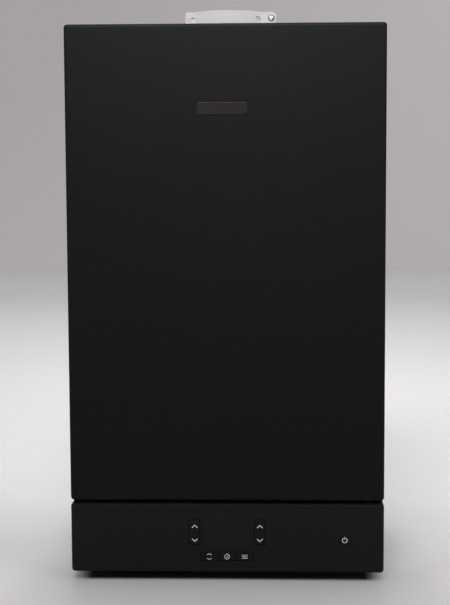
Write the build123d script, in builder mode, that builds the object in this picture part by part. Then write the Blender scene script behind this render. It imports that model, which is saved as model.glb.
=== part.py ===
from build123d import *
import math
import os

os.makedirs("parts", exist_ok=True)

# Wall-mounted gas boiler, in millimetres. The origin is the middle of the wall bracket's bolt line,
# on the wall. +Z is up, the wall is the plane Y = 0 and the front looks towards -Y. Heights are given
# above the casing's bottom edge, and depths behind the front plane.

# Casing
case_width = 415.0
case_height = 720.0
case_depth = 290.0
bolt_drop = 65.0
panel_height = 93.0
seam_gap = 4.0
casing_sheet = 1.0
cover_sheet = 1.2
fascia_wall = 2.2
return_depth = 30.0
edge_radius = 4.0
cover_corner = 4.5
hem_width = 14.0
gasket_thickness = 3.0
gasket_width = 9.0
gasket_setback = 3.0
wall_gap = 9.0
rear_flange = 20.0

# Clearances, seats and cuts
overrun = 1.0
fit_gap = 0.1
slip_gap = 0.3
key_gap = 0.5
hole_gap = 1.5

# Wall bracket
bolt_inset = 20.0
bolt_hole_radius = 5.0
bracket_side_gap = 17.5
bracket_height = 46.0
bracket_corner = 4.0
bracket_sheet = 2.0
hook_pair_width = 180.0
hook_width = 30.0
hook_drop = 12.0
hook_reach = 5.0
hook_lip = 12.0
slot_play = 2.0

# Cover fixings and badge
tongue_pair_width = 240.0
tongue_width = 18.0
tongue_reach = 12.0
tongue_drop = 18.0
tongue_tab = 6.0
tongue_skirt = 5.0
screw_inset = 21.5
screw_depth = 20.0
screw_ear_width = 16.0
screw_radius = 2.0
screw_head_radius = 4.5
screw_head_height = 2.0
screw_length = 9.0
rail_height = 30.0
rail_return = 10.0
badge_width = 66.0
badge_height = 16.0
badge_thickness = 1.0
badge_corner = 3.0
badge_drop = 108.4
badge_offset = -3.6

# Control panel
pivot_depth = 8.0
pivot_height = 8.0
pivot_radius = 3.0
pin_head_radius = 4.5
pin_head_length = 1.5
lug_radius = 5.0
lug_width = 4.0
lug_rise = 12.0
arm_sheet = 1.5
arm_gap = 0.5
lip_depth = 12.0
base_return_inset = 17.5
box_inset = 37.5
box_depth = 45.0
box_base = 4.5
box_wall = 2.0
box_chamfer = 8.0
window_width = 58.6
window_height = 47.8
window_level = 57.0
window_gap = 0.15
window_ledge = 2.0
window_rim = 3.0
rim_depth = 1.5
rocker_pair_width = 87.0
rocker_level = 54.7
rocker_slot_width = 15.9
rocker_slot_height = 34.8
rocker_depth = 7.0
rocker_axis_depth = 4.5
rocker_pin_radius = 1.5
rocker_lug = 2.5
rocker_lug_reach = 4.0
rocker_corner = 1.5
rocker_edge = 0.8
key_row_width = 70.7
key_row_height = 11.8
key_row_level = 21.9
key_count = 3
key_depth = 8.0
key_flange = 1.5
key_flange_thickness = 1.2
key_edge = 0.4
power_inset = 51.4
power_level = 43.7
power_radius = 9.0
board_depth = 18.0
board_sheet = 1.6
board_margin = 8.0
post_radius = 3.0
switch_gap = 2.2
switch_radius = 2.0
display_gap = 0.8
display_margin = 3.0
relay_width = 16.0
relay_height = 20.0
relay_depth = 15.0
relay_gap = 4.0
relay_count = 5
choke_width = 42.0
choke_height = 36.0

# Bottom tray and connections
tray_height = 18.0
tray_sheet = 1.2
tray_front = 52.0
tray_flange = 20.0
arm_root = 18.0
stub_reach = 11.0
stub_neck = 3.0
stub_wall = 2.5
mouth_depth = 10.0
neck_step = 1.0
row_from_wall = 110.0
row_pitch = 65.0
large_stub = 13.2
small_stub = 10.5
shoulder_margin = 3.8
shoulder_height = 12.0
hose_radius = 9.5
relief_radius = 7.5
relief_wall = 1.5
gland_radius = 10.0
gland_bore = 4.0
gland_nut = 26.0
gland_nut_height = 5.0
gland_reach = 15.0
gland_inset = 29.5
gland_from_wall = 38.0

# Flue
flue_bore = 30.15
flue_wall = 1.5
flue_rise = 20.0
socket_length = 50.0
socket_foot_length = 22.0
bead_radius = 35.0
bead_height = 10.0
bead_drop = 7.0
seal_section = 3.0
collar_radius = 50.0
collar_wall = 1.5
collar_rise = 25.0
collar_flange = 128.0
collar_flange_corner = 10.0
collar_flange_sheet = 1.5
collar_screw_width = 108.0
clamp_sheet = 1.5
clamp_foot = 8.0
clamp_height = 17.0
clamp_split = 23.0
left_ear = 13.0
right_ear = 21.0
ear_corner = 5.5
ear_slot_height = 9.0
ear_slot_width = 3.2
clamp_screw_radius = 2.5
clamp_screw_head = 4.5
clamp_screw_head_height = 2.6
clamp_screw_inset = 6.5
clamp_nut = 8.0
clamp_nut_height = 4.0

# Heat exchanger and burner
exchanger_rise = 145.0
shell_radius = 98.0
shell_wall = 3.0
flange_overhang = 16.0
flange_sheet = 6.0
stud_overhang = 8.0
stud_count = 6
stud_radius = 3.0
stud_length = 22.0
nut_across = 10.0
nut_height = 5.0
door_thickness = 14.0
door_boss_radius = 37.0
door_boss_height = 4.0
door_bore = 22.0
door_rib_count = 12
door_rib_width = 4.0
door_rib_height = 5.0
vessel_clearance = 5.0
port_drop = 50.0
port_radius = 11.0
port_reach = 18.0
spigot_wall = 2.4
spigot_rise = 27.0
spigot_collar = 4.0
spigot_collar_rise = 9.0
drain_spigot_offset = -40.0
drain_spigot_inset = 50.0
drain_spigot_reach = 17.0
coil_gap = 3.0
coil_clearance = 17.0
coil_pitch = 8.2
coil_groove = 4.8
coil_rib = 3.0
coil_front_gap = 12.0
burner_radius = 33.0
burner_wall = 1.2
burner_end_gap = 42.0
burner_flange = 45.0
burner_flange_sheet = 1.5
electrode_ring_radius = 50.0
electrode_angle = 50.0
electrode_radius = 5.0
electrode_plate = 9.0
electrode_plate_sheet = 2.0
electrode_front = 26.0
electrode_inside = 20.0
electrode_rod = 1.5
electrode_rod_length = 32.0
bracket_rise = 15.0
bracket_reach = 65.0
bracket_half_width = 70.0
bracket_wall = 2.0
bracket_foot = 18.0

# Fan, mixture duct and gas train
motor_gap = 7.8
fan_motor_length = 16.5
fan_motor_radius = 34.0
fan_plate = 2.5
fan_depth = 42.0
fan_radius = 65.0
fan_wall = 2.5
neck_width = 46.0
neck_rise = 1.0
outlet_flange = 5.0
outlet_flange_margin = 7.0
fan_inlet = 24.0
wheel_clearance = 12.0
wheel_gap = 3.0
wheel_width = 30.0
wheel_disc = 1.5
wheel_eye = 24.0
wheel_hub = 10.0
wheel_blades = 9
wheel_blade_sheet = 1.6
shaft_radius = 3.0
shaft_bite = 12.0
duct_depth = 26.0
duct_wall = 2.5
duct_margin = 2.0
duct_gap = 3.0
duct_edge = 7.0
duct_flange = 5.0
venturi_length = 48.0
venturi_flange = 34.0
venturi_flange_sheet = 5.0
venturi_throat = 13.0
venturi_mouth = 24.0
venturi_wall = 4.0
venturi_boss = 11.0
venturi_boss_reach = 38.0
feed_radius = 8.0
feed_length = 58.0
valve_width = 62.0
valve_height = 92.0
valve_depth = 66.0
valve_front_gap = 4.0
valve_edge = 5.0
valve_coil_radius = 14.0
valve_coil_reach = 22.0
valve_port_radius = 13.0
valve_port_reach = 6.0
gas_pipe_radius = 8.0
gas_turn_drop = 20.0
gas_bend = 18.0
igniter_width = 42.0
igniter_height = 60.0
igniter_depth = 50.0
igniter_drop = 35.0
igniter_front = 50.0
igniter_edge = 4.0
lead_radius = 3.5
lead_bend = 16.0
lead_forward = 18.0

# Expansion vessel
vessel_depth = 65.0
vessel_edge = 24.0
vessel_wall = 1.5
vessel_rim = 6.0
vessel_rim_sheet = 4.0
vessel_gap = 27.0
vessel_floor_gap = 10.0
vessel_port_inset = 8.0
vessel_pipe_radius = 6.0
vessel_pipe_bend = 14.0

# Water side
plate_port_x = 75.0
plate_port_low = 88.0
plate_port_pitch = 40.0
plate_margin_side = 20.0
plate_margin_level = 18.0
plate_gap = 7.0
plate_count = 18
plate_pitch = 2.6
plate_groove = 0.8
plate_groove_depth = 2.0
plate_corner = 12.0
group_port_reach = 25.0
group_port_radius = 10.0
group_pipe_radius = 14.0
group_small_radius = 11.0
flow_manifold_level = 150.0
return_manifold_level = 108.0
manifold_radius = 17.0
manifold_overhang = 8.0
riser_inset = 29.5
riser_top = 175.0
riser_radius = 13.0
heating_pipe_radius = 9.0
heating_pipe_bend = 26.0
diverter_offset = -97.0
diverter_boss_radius = 20.0
diverter_boss_reach = 48.0
diverter_width = 44.0
diverter_height = 44.0
diverter_length = 66.0
diverter_edge = 6.0
safety_offset = -54.0
safety_boss_radius = 11.0
safety_boss_reach = 40.0
safety_radius = 13.0
safety_length = 40.0
safety_outlet_depth = 22.0
safety_knob_radius = 14.0
safety_knob_length = 20.0
safety_knob_ribs = 8
knob_rib = 1.6
safety_stem_radius = 4.0
safety_stem_length = 12.0
pump_offset = 120.0
pump_level = 140.0
pump_radius = 48.0
pump_depth = 36.0
pump_wall = 5.0
pump_reach = 10.0
pump_neck_radius = 20.0
pump_motor_radius = 44.0
pump_motor_gap = 8.0
pump_motor_edge = 9.0
pump_flange_sheet = 6.0
pump_plug_radius = 12.0
pump_plug_length = 3.0
pump_box_width = 48.0
pump_box_depth = 34.0
pump_box_rise = 14.0
pump_wheel_clearance = 6.0
pump_wheel_width = 16.0
pump_wheel_eye = 14.0
pump_wheel_blades = 6
pump_shaft_radius = 4.0
pump_shaft_bite = 12.0
vent_depth_shift = 29.0
vent_base_radius = 12.0
vent_base_rise = 50.0
vent_radius = 17.0
vent_height = 48.0
vent_edge = 4.0
vent_cap_radius = 6.0
vent_cap_height = 9.0
fill_offset = 98.0
fill_forward = 34.0
fill_body_radius = 11.0
fill_body_base = 40.0
fill_stem_radius = 4.0
fill_stem_bite = 20.0
fill_knob_radius = 13.0
fill_knob_base = -9.0
fill_knob_top = 11.0
trap_offset = -135.0
trap_forward = 38.0
trap_radius = 24.0
trap_base = 190.0
trap_cup_height = 46.0
trap_cup_margin = 2.5
trap_neck_radius = 9.0
trap_neck_rise = 18.0
trap_outlet_reach = 4.0
trap_seat = 15.0
hose_forward = 17.0
hose_fall = 80.5
hose_run = 24.0
hose_bend = 14.0

# Places worked out from the sizes above
bolt_height = case_height - bolt_drop
half_width = case_width / 2
inner_half = half_width - casing_sheet
roof_level = case_height - casing_sheet
cover_bottom = panel_height + seam_gap
cover_height = case_height - cover_bottom
cover_middle = cover_bottom + cover_height / 2
chassis_front = return_depth + gasket_thickness
back_rear = case_depth - wall_gap
back_front = back_rear - casing_sheet
rail_top = cover_bottom + rail_height
row_depth = case_depth - row_from_wall
tray_top = tray_height + tray_sheet
exchanger_level = case_height / 2 + exchanger_rise
fan_front = cover_sheet + motor_gap + fan_motor_length + fan_plate
fan_rear = fan_front + fan_depth
fan_middle = fan_front + fan_depth / 2
duct_rear = fan_middle + duct_depth / 2
door_front = duct_rear + door_boss_height
shell_front = door_front + door_thickness
flange_radius = shell_radius + flange_overhang
stud_ring_radius = shell_radius + stud_overhang
coil_outer = shell_radius - shell_wall - coil_gap
coil_inner = burner_flange + coil_clearance
vessel_front = back_front - vessel_depth
shell_rear = vessel_front - vessel_clearance
flue_depth = (shell_front + shell_rear) / 2
drain_spigot_depth = shell_rear - drain_spigot_inset
duct_foot = exchanger_level - flange_radius - duct_gap
fan_level = duct_foot - outlet_flange - fan_radius - neck_rise
fan_x = neck_width / 2 - fan_radius
venturi_rear = fan_rear + venturi_length
valve_left = fan_x + venturi_boss_reach + feed_length
valve_x = valve_left + valve_width / 2
valve_front = fan_rear - valve_front_gap
valve_middle = valve_front + valve_depth / 2
valve_base = fan_level - valve_height / 2
bracket_base = exchanger_level + bracket_rise
vessel_floor = flow_manifold_level + manifold_radius + vessel_floor_gap
vessel_radius = (bracket_base - vessel_gap - vessel_floor) / 2
vessel_level = vessel_floor + vessel_radius
plate_port_high = plate_port_low + plate_port_pitch
group_rear = row_depth + group_port_reach
plate_front = group_rear + plate_gap
inner_return = half_width - fascia_wall
arm_outside = inner_return - arm_gap
arm_inside = arm_outside - arm_sheet
lug_outside = arm_inside - arm_gap
box_half_width = half_width - box_inset
power_offset = half_width - power_inset
screw_offset = half_width - screw_inset
gland_offset = gland_inset - half_width
riser_offset = half_width - riser_inset
bracket_width = 2 * (half_width - rear_flange - bracket_side_gap)
bolt_pair_width = bracket_width - 2 * bolt_inset
box_top = window_level + window_height / 2 + window_rim + slip_gap + box_wall
pump_face = row_depth - pump_reach - pump_depth
pump_motor_length = pump_face - chassis_front - rail_return - pump_motor_gap
safety_front = row_depth - safety_boss_reach - safety_length
fill_depth = row_depth - fill_forward
trap_depth = row_depth - trap_forward
hose_depth = trap_depth - hose_forward
vent_depth = row_depth - vent_depth_shift
vessel_port_x = (plate_port_x + group_port_radius + pump_offset - pump_neck_radius) / 2
vessel_port_circle = vessel_radius - vessel_edge - vessel_port_inset
vessel_port_level = vessel_level - math.sqrt(vessel_port_circle**2 - vessel_port_x**2)


def behind(depth):
    """Y of a depth behind the front plane."""
    return depth - case_depth


def level(height):
    """Z of a height above the casing's bottom edge."""
    return height - bolt_height


def spot(x, depth, height):
    """Point at a depth behind the front and a height above the bottom edge."""
    return Vector(x, behind(depth), level(height))


def facing(x, depth, height):
    """Plane that looks at the viewer, with X to the right and Y up."""
    return Plane(origin=spot(x, depth, height), x_dir=(1, 0, 0), z_dir=(0, -1, 0))


def deck(x, depth, height):
    """Level plane that looks up, with X to the right and Y to the wall."""
    return Plane(origin=spot(x, depth, height), x_dir=(1, 0, 0), z_dir=(0, 0, 1))


def flank(x, depth, height):
    """Upright plane that looks to the right, with X to the wall and Y up."""
    return Plane(origin=spot(x, depth, height), x_dir=(0, 1, 0), z_dir=(1, 0, 0))


def slab(left, right, front, rear, low, high, mode=Mode.ADD):
    """Box between two places across, two depths and two heights."""
    with Locations(spot((left + right) / 2, (front + rear) / 2, (low + high) / 2)):
        Box(right - left, rear - front, high - low, mode=mode)


def rod(plane, radius, length, mode=Mode.ADD):
    """Cylinder that stands on a plane."""
    with Locations(plane):
        Cylinder(radius, length, align=(Align.CENTER, Align.CENTER, Align.MIN), mode=mode)


def hexagon(plane, across, length, mode=Mode.ADD):
    """Six-sided prism that stands on a plane."""
    with BuildSketch(plane) as outline:
        RegularPolygon(across / 2, 6, major_radius=False)
    extrude(outline.sketch, amount=length, mode=mode)


def pipe(points, bend, radius):
    """Round bar along straight runs joined by arcs of one radius."""
    with BuildLine() as path:
        FilletPolyline(*points, radius=bend)
    with BuildSketch(Plane(origin=path.line @ 0, z_dir=path.line % 0)) as section:
        Circle(radius)
    sweep(section.sketch, path=path.line)


# Wall bracket, with two hooks that carry the boiler
hook_top = bolt_height - hook_drop
with BuildPart() as wall_bracket:
    with BuildSketch(facing(0, case_depth, bolt_height)):
        RectangleRounded(bracket_width, bracket_height, bracket_corner)
        with Locations((-bolt_pair_width / 2, 0), (bolt_pair_width / 2, 0)):
            Circle(bolt_hole_radius, mode=Mode.SUBTRACT)
    extrude(amount=bracket_sheet)
    hook_front = back_front - hook_reach
    for side in (-1, 1):
        hook_x = side * hook_pair_width / 2
        slab(hook_x - hook_width / 2, hook_x + hook_width / 2, hook_front, case_depth,
             hook_top - bracket_sheet, hook_top)
        slab(hook_x - hook_width / 2, hook_x + hook_width / 2, hook_front - bracket_sheet, hook_front,
             hook_top - bracket_sheet, hook_top + hook_lip)
wall_bracket.part.label = "wall_bracket"
export_step(wall_bracket.part, "parts/wall_bracket.step")

# Back panel, which hangs on the hooks by its slots
with BuildPart() as back_panel:
    slab(-inner_half, inner_half, back_front, back_rear, 0, roof_level)
    for side in (-1, 1):
        hook_x = side * hook_pair_width / 2
        slot_half = hook_width / 2 + slot_play
        slab(hook_x - slot_half, hook_x + slot_half, back_front - overrun, back_rear + overrun,
             hook_top - bracket_sheet - hook_lip - slot_play, hook_top, mode=Mode.SUBTRACT)
back_panel.part.label = "back_panel"
export_step(back_panel.part, "parts/back_panel.step")

# Side panels, each with a flange at the front for the gasket and one at the rear along the wall
for side, name in ((-1, "left_side_panel"), (1, "right_side_panel")):
    with BuildPart() as side_panel:
        outside = side * half_width
        inside = side * inner_half
        front_edge = side * (half_width - hem_width)
        rear_edge = side * (half_width - rear_flange)
        slab(min(outside, inside), max(outside, inside), chassis_front, case_depth, 0, roof_level)
        slab(min(outside, front_edge), max(outside, front_edge), chassis_front,
             chassis_front + casing_sheet, rail_top, roof_level)
        slab(min(outside, rear_edge), max(outside, rear_edge), case_depth - casing_sheet, case_depth,
             0, roof_level)
        bends = side_panel.edges().filter_by(Axis.Z).filter_by_position(
            Axis.X, min(outside, outside - side * overrun / 2), max(outside, outside - side * overrun / 2))
        fillet(bends, casing_sheet - slip_gap)
    side_panel.part.label = name
    export_step(side_panel.part, f"parts/{name}.step")

# Top panel, with the flue hole and two slotted tabs that take the cover's tongues
tongue_level = case_height - tongue_drop
skirt_level = tongue_level - tongue_skirt - cover_sheet
with BuildPart() as top_panel:
    slab(-half_width, half_width, chassis_front, case_depth, roof_level, case_height)
    slab(hem_width - half_width, half_width - hem_width, chassis_front, chassis_front + casing_sheet,
         case_height - hem_width, roof_level)
    for side in (-1, 1):
        tab_x = side * tongue_pair_width / 2
        tab_half = tongue_width / 2 + tongue_tab
        slot_half = tongue_width / 2 + slip_gap
        slab(tab_x - tab_half, tab_x + tab_half, chassis_front, chassis_front + casing_sheet,
             skirt_level, case_height - hem_width)
        slab(tab_x - slot_half, tab_x + slot_half, chassis_front - overrun,
             chassis_front + casing_sheet + overrun, tongue_level,
             tongue_level + cover_sheet + slip_gap, mode=Mode.SUBTRACT)
    rod(deck(0, flue_depth, roof_level - overrun), collar_radius - collar_wall,
        casing_sheet + 2 * overrun, mode=Mode.SUBTRACT)
top_panel.part.label = "top_panel"
export_step(top_panel.part, "parts/top_panel.step")

# Cross rail between the side panels, which the cover seals against. Two ears reach forward under the
# cover's lower edge, with slots open to the front for its screws.
ear_top = cover_bottom - fit_gap
ear_low = ear_top - casing_sheet
with BuildPart() as cross_rail:
    slab(-inner_half, inner_half, chassis_front, chassis_front + casing_sheet, cover_bottom, rail_top)
    slab(-inner_half, inner_half, chassis_front, chassis_front + rail_return, rail_top - casing_sheet,
         rail_top)
    for side in (-1, 1):
        ear_x = side * screw_offset
        slab(ear_x - screw_ear_width / 2, ear_x + screw_ear_width / 2, chassis_front,
             chassis_front + casing_sheet, ear_low, cover_bottom)
        slab(ear_x - screw_ear_width / 2, ear_x + screw_ear_width / 2,
             screw_depth - screw_ear_width / 2, chassis_front + casing_sheet, ear_low, ear_top)
        slot_half = screw_radius + slip_gap
        rod(deck(ear_x, screw_depth, ear_low - overrun), slot_half, casing_sheet + 2 * overrun,
            mode=Mode.SUBTRACT)
        slab(ear_x - slot_half, ear_x + slot_half, screw_depth - screw_ear_width / 2 - overrun,
             screw_depth, ear_low - overrun, ear_top + overrun, mode=Mode.SUBTRACT)
cross_rail.part.label = "cross_rail"
export_step(cross_rail.part, "parts/cross_rail.step")

# Bottom tray: a shallow channel with two arms that reach forward to the control panel's pins
tray_holes = (
    (-2 * row_pitch, row_depth, large_stub),
    (-row_pitch, row_depth, small_stub),
    (0, row_depth, large_stub),
    (row_pitch, row_depth, small_stub),
    (2 * row_pitch, row_depth, large_stub),
    (trap_offset, hose_depth, hose_radius),
    (safety_offset, safety_front + safety_outlet_depth, relief_radius),
    (fill_offset, fill_depth, fill_stem_radius),
)
with BuildPart() as bottom_tray:
    slab(-arm_outside, arm_outside, tray_front, back_front, tray_height, tray_top)
    for side in (-1, 1):
        low_x = min(side * arm_inside, side * arm_outside)
        high_x = max(side * arm_inside, side * arm_outside)
        slab(low_x, high_x, tray_front, back_front, tray_height, tray_top + tray_flange)
        slab(low_x, high_x, pivot_depth, tray_front + arm_root, pivot_height - lug_radius,
             pivot_height + lug_radius)
        slab(low_x, high_x, tray_front, tray_front + arm_root, pivot_height - lug_radius,
             tray_top + tray_flange)
        rod(flank(low_x, pivot_depth, pivot_height), lug_radius, arm_sheet)
        rod(flank(low_x - overrun, pivot_depth, pivot_height), pivot_radius + fit_gap,
            arm_sheet + 2 * overrun, mode=Mode.SUBTRACT)
    for hole_x, hole_depth, hole_radius in tray_holes:
        rod(deck(hole_x, hole_depth, tray_height - overrun), hole_radius + hole_gap,
            tray_sheet + 2 * overrun, mode=Mode.SUBTRACT)
    rod(deck(gland_offset, case_depth - gland_from_wall, tray_height - overrun), gland_radius + fit_gap,
        tray_sheet + 2 * overrun, mode=Mode.SUBTRACT)
bottom_tray.part.label = "bottom_tray"
export_step(bottom_tray.part, "parts/bottom_tray.step")

# Front cover: a folded pan with a hem all round, two tongues at the top and two screw holes below
with BuildPart() as front_cover:
    with BuildSketch(facing(0, return_depth, cover_middle)):
        RectangleRounded(case_width, cover_height, cover_corner)
    extrude(amount=return_depth)
    fillet(front_cover.faces().sort_by(Axis.Y)[0].edges(), edge_radius)
    offset(amount=-cover_sheet, openings=front_cover.faces().sort_by(Axis.Y)[-1])
    with BuildSketch(facing(0, return_depth, cover_middle)):
        RectangleRounded(case_width, cover_height, cover_corner)
        Rectangle(case_width - 2 * hem_width, cover_height - 2 * hem_width, mode=Mode.SUBTRACT)
    extrude(amount=cover_sheet)
    for side in (-1, 1):
        tab_x = side * tongue_pair_width / 2
        slab(tab_x - tongue_width / 2, tab_x + tongue_width / 2, return_depth - cover_sheet, return_depth,
             tongue_level, case_height - hem_width)
        slab(tab_x - tongue_width / 2, tab_x + tongue_width / 2, return_depth - cover_sheet,
             return_depth + tongue_reach, tongue_level, tongue_level + cover_sheet)
        rod(deck(side * screw_offset, screw_depth, cover_bottom - overrun), screw_radius + fit_gap,
            cover_sheet + 2 * overrun, mode=Mode.SUBTRACT)
front_cover.part.label = "front_cover"
export_step(front_cover.part, "parts/front_cover.step")

# Gasket between the cover's hem and the chassis
with BuildPart() as cover_gasket:
    with BuildSketch(facing(0, chassis_front, cover_middle)):
        Rectangle(case_width - 2 * gasket_setback, cover_height - 2 * gasket_setback)
        Rectangle(case_width - 2 * (gasket_setback + gasket_width),
                  cover_height - 2 * (gasket_setback + gasket_width), mode=Mode.SUBTRACT)
    extrude(amount=gasket_thickness)
cover_gasket.part.label = "cover_gasket"
export_step(cover_gasket.part, "parts/cover_gasket.step")

# Two captive screws that clamp the cover's lower edge to the rail's ears
with BuildPart() as cover_screws:
    screw_foot = ear_low - screw_head_height
    for side in (-1, 1):
        rod(deck(side * screw_offset, screw_depth, screw_foot), screw_head_radius, screw_head_height)
        rod(deck(side * screw_offset, screw_depth, ear_low), screw_radius, screw_length)
        hexagon(deck(side * screw_offset, screw_depth, screw_foot - overrun), screw_head_radius,
                screw_head_height / 2 + overrun, mode=Mode.SUBTRACT)
cover_screws.part.label = "cover_screws"
export_step(cover_screws.part, "parts/cover_screws.step")

# Plain badge plate on the cover
with BuildPart() as front_badge:
    with BuildSketch(facing(badge_offset, 0, case_height - badge_drop)):
        RectangleRounded(badge_width, badge_height, badge_corner)
    extrude(amount=badge_thickness)
    fillet(front_badge.faces().sort_by(Axis.Y)[0].edges(), badge_thickness / 2)
front_badge.part.label = "front_badge"
export_step(front_badge.part, "parts/front_badge.step")

# Control fascia: a pan like the cover, with openings for the window, keys and power button
rocker_places = (-rocker_pair_width / 2, rocker_pair_width / 2)
with BuildPart() as control_fascia:
    with BuildSketch(facing(0, return_depth, panel_height / 2)):
        RectangleRounded(case_width, panel_height, cover_corner)
    extrude(amount=return_depth)
    fillet(control_fascia.faces().sort_by(Axis.Y)[0].edges(), edge_radius)
    offset(amount=-fascia_wall, openings=control_fascia.faces().sort_by(Axis.Y)[-1])
    slab(-inner_return, inner_return, lip_depth, return_depth + overrun, panel_height - cover_corner,
         panel_height + overrun, mode=Mode.SUBTRACT)
    for side in (-1, 1):
        notch = sorted((side * (half_width - base_return_inset), side * inner_return))
        slab(notch[0], notch[1], fascia_wall, return_depth + overrun, -overrun, cover_corner + arm_gap,
             mode=Mode.SUBTRACT)
        lug = sorted((side * lug_outside, side * (lug_outside - lug_width)))
        slab(lug[0], lug[1], fascia_wall - casing_sheet, pivot_depth, pivot_height - lug_radius,
             pivot_height + lug_rise)
        rod(flank(lug[0], pivot_depth, pivot_height), lug_radius, lug_width)
        rod(flank(lug[0] - overrun, pivot_depth, pivot_height), pivot_radius + fit_gap,
            lug_width + 2 * overrun, mode=Mode.SUBTRACT)
    window_rear = fascia_wall + rim_depth
    with BuildSketch(facing(0, window_rear, window_level)):
        Rectangle(window_width + 2 * window_rim, window_height + 2 * window_rim)
    extrude(amount=rim_depth)
    with BuildSketch(facing(0, window_rear + overrun, window_level)):
        Rectangle(window_width - 2 * window_ledge, window_height - 2 * window_ledge)
    extrude(amount=rim_depth + 2 * overrun, mode=Mode.SUBTRACT)
    with BuildSketch(facing(0, fascia_wall, window_level)):
        Rectangle(window_width + 2 * window_gap, window_height + 2 * window_gap)
    extrude(amount=fascia_wall + overrun, mode=Mode.SUBTRACT)
    for rocker_x in rocker_places:
        for side in (-1, 1):
            wall = rocker_x + side * rocker_slot_width / 2
            lug = sorted((wall, wall + side * rocker_lug))
            slab(lug[0], lug[1], fascia_wall - casing_sheet, rocker_axis_depth + rocker_lug_reach,
                 rocker_level - rocker_lug_reach, rocker_level + rocker_lug_reach)
        rod(flank(rocker_x - rocker_slot_width, rocker_axis_depth, rocker_level),
            rocker_pin_radius + fit_gap, 2 * rocker_slot_width, mode=Mode.SUBTRACT)
        with BuildSketch(facing(rocker_x, fascia_wall + overrun, rocker_level)):
            RectangleRounded(rocker_slot_width, rocker_slot_height, rocker_corner + key_gap)
        extrude(amount=fascia_wall + 2 * overrun, mode=Mode.SUBTRACT)
    with BuildSketch(facing(0, fascia_wall + overrun, key_row_level)):
        Rectangle(key_row_width, key_row_height)
    extrude(amount=fascia_wall + 2 * overrun, mode=Mode.SUBTRACT)
    rod(facing(power_offset, fascia_wall + overrun, power_level), power_radius,
        fascia_wall + 2 * overrun, mode=Mode.SUBTRACT)
control_fascia.part.label = "control_fascia"
export_step(control_fascia.part, "parts/control_fascia.step")

# Rear half of the control box, with posts for the board
board_rear = board_depth + board_sheet
board_half = box_half_width - box_wall - board_margin
board_low = box_base + box_wall + board_margin / 2
board_high = box_top - box_wall - board_margin
with BuildPart() as control_box:
    slab(-box_half_width, box_half_width, fascia_wall, box_depth, box_base, box_top)
    top_rear = control_box.edges().filter_by(Axis.X).group_by(Axis.Z)[-1].sort_by(Axis.Y)[-1]
    chamfer(top_rear, box_chamfer)
    offset(amount=-box_wall, openings=control_box.faces().sort_by(Axis.Y)[0])
    for post_x in (-board_half + board_margin, board_half - board_margin):
        for post_level in (board_low + board_margin, board_high - board_margin):
            rod(facing(post_x, box_depth - box_wall / 2, post_level), post_radius,
                box_depth - box_wall / 2 - board_rear)
control_box.part.label = "control_box"
export_step(control_box.part, "parts/control_box.step")

# Control board, with the display module and switches in front and the relays behind
key_width = (key_row_width - (key_count + 1) * key_gap) / key_count
key_pitch = key_width + key_gap
with BuildPart() as control_board:
    slab(-board_half, board_half, board_depth, board_rear, board_low, board_high)
    slab(display_margin - window_width / 2, window_width / 2 - display_margin, window_rear + display_gap,
         board_depth, window_level - window_height / 2 + display_margin,
         window_level + window_height / 2 - display_margin)
    for index in range(key_count):
        switch_x = (index - (key_count - 1) / 2) * key_pitch
        rod(facing(switch_x, board_depth, key_row_level), switch_radius,
            board_depth - key_depth - switch_gap)
    rod(facing(power_offset, board_depth, power_level), switch_radius,
        board_depth - key_depth - switch_gap)
    for rocker_x in rocker_places:
        for side in (-1, 1):
            rod(facing(rocker_x, board_depth, rocker_level + side * rocker_slot_height / 3),
                switch_radius, board_depth - rocker_depth - switch_gap)
    for index in range(relay_count):
        relay_x = (index - relay_count) * (relay_width + relay_gap)
        slab(relay_x, relay_x + relay_width, board_rear, board_rear + relay_depth,
             board_low + board_margin, board_low + board_margin + relay_height)
    slab(relay_width, relay_width + choke_width, board_rear, board_rear + relay_depth,
         board_low + board_margin, board_low + board_margin + choke_height)
control_board.part.label = "control_board"
export_step(control_board.part, "parts/control_board.step")

# Smoked display window
with BuildPart() as display_window:
    with BuildSketch(facing(0, fascia_wall, window_level)):
        Rectangle(window_width, window_height)
    extrude(amount=fascia_wall)
display_window.part.label = "display_window"
export_step(display_window.part, "parts/display_window.step")

# Rocker keys, each on two short pins of its own
for rocker_x, name in ((rocker_places[0], "left_rocker_key"), (rocker_places[1], "right_rocker_key")):
    with BuildPart() as rocker_key:
        with BuildSketch(facing(rocker_x, rocker_depth, rocker_level)):
            RectangleRounded(rocker_slot_width - 2 * key_gap, rocker_slot_height - 2 * key_gap,
                             rocker_corner)
        extrude(amount=rocker_depth)
        fillet(rocker_key.faces().sort_by(Axis.Y)[0].edges(), rocker_edge)
        pin_half = rocker_slot_width / 2 + rocker_lug - slip_gap
        rod(flank(rocker_x - pin_half, rocker_axis_depth, rocker_level), rocker_pin_radius,
            2 * pin_half)
    rocker_key.part.label = name
    export_step(rocker_key.part, f"parts/{name}.step")

# Three keys in one row, each with a flange that holds it behind the fascia
for index, name in enumerate(("temperature_key", "gauge_key", "menu_key")):
    with BuildPart() as row_key:
        key_x = (index - (key_count - 1) / 2) * key_pitch
        with BuildSketch(facing(key_x, key_depth, key_row_level)):
            Rectangle(key_width, key_row_height - 2 * key_gap)
        extrude(amount=key_depth)
        fillet(row_key.faces().sort_by(Axis.Y)[0].edges(), key_edge)
        flange_half = key_row_height / 2 + key_flange
        slab(key_x - key_width / 2, key_x + key_width / 2, fascia_wall,
             fascia_wall + key_flange_thickness, key_row_level - flange_half,
             key_row_level + flange_half)
    row_key.part.label = name
    export_step(row_key.part, f"parts/{name}.step")

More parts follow.
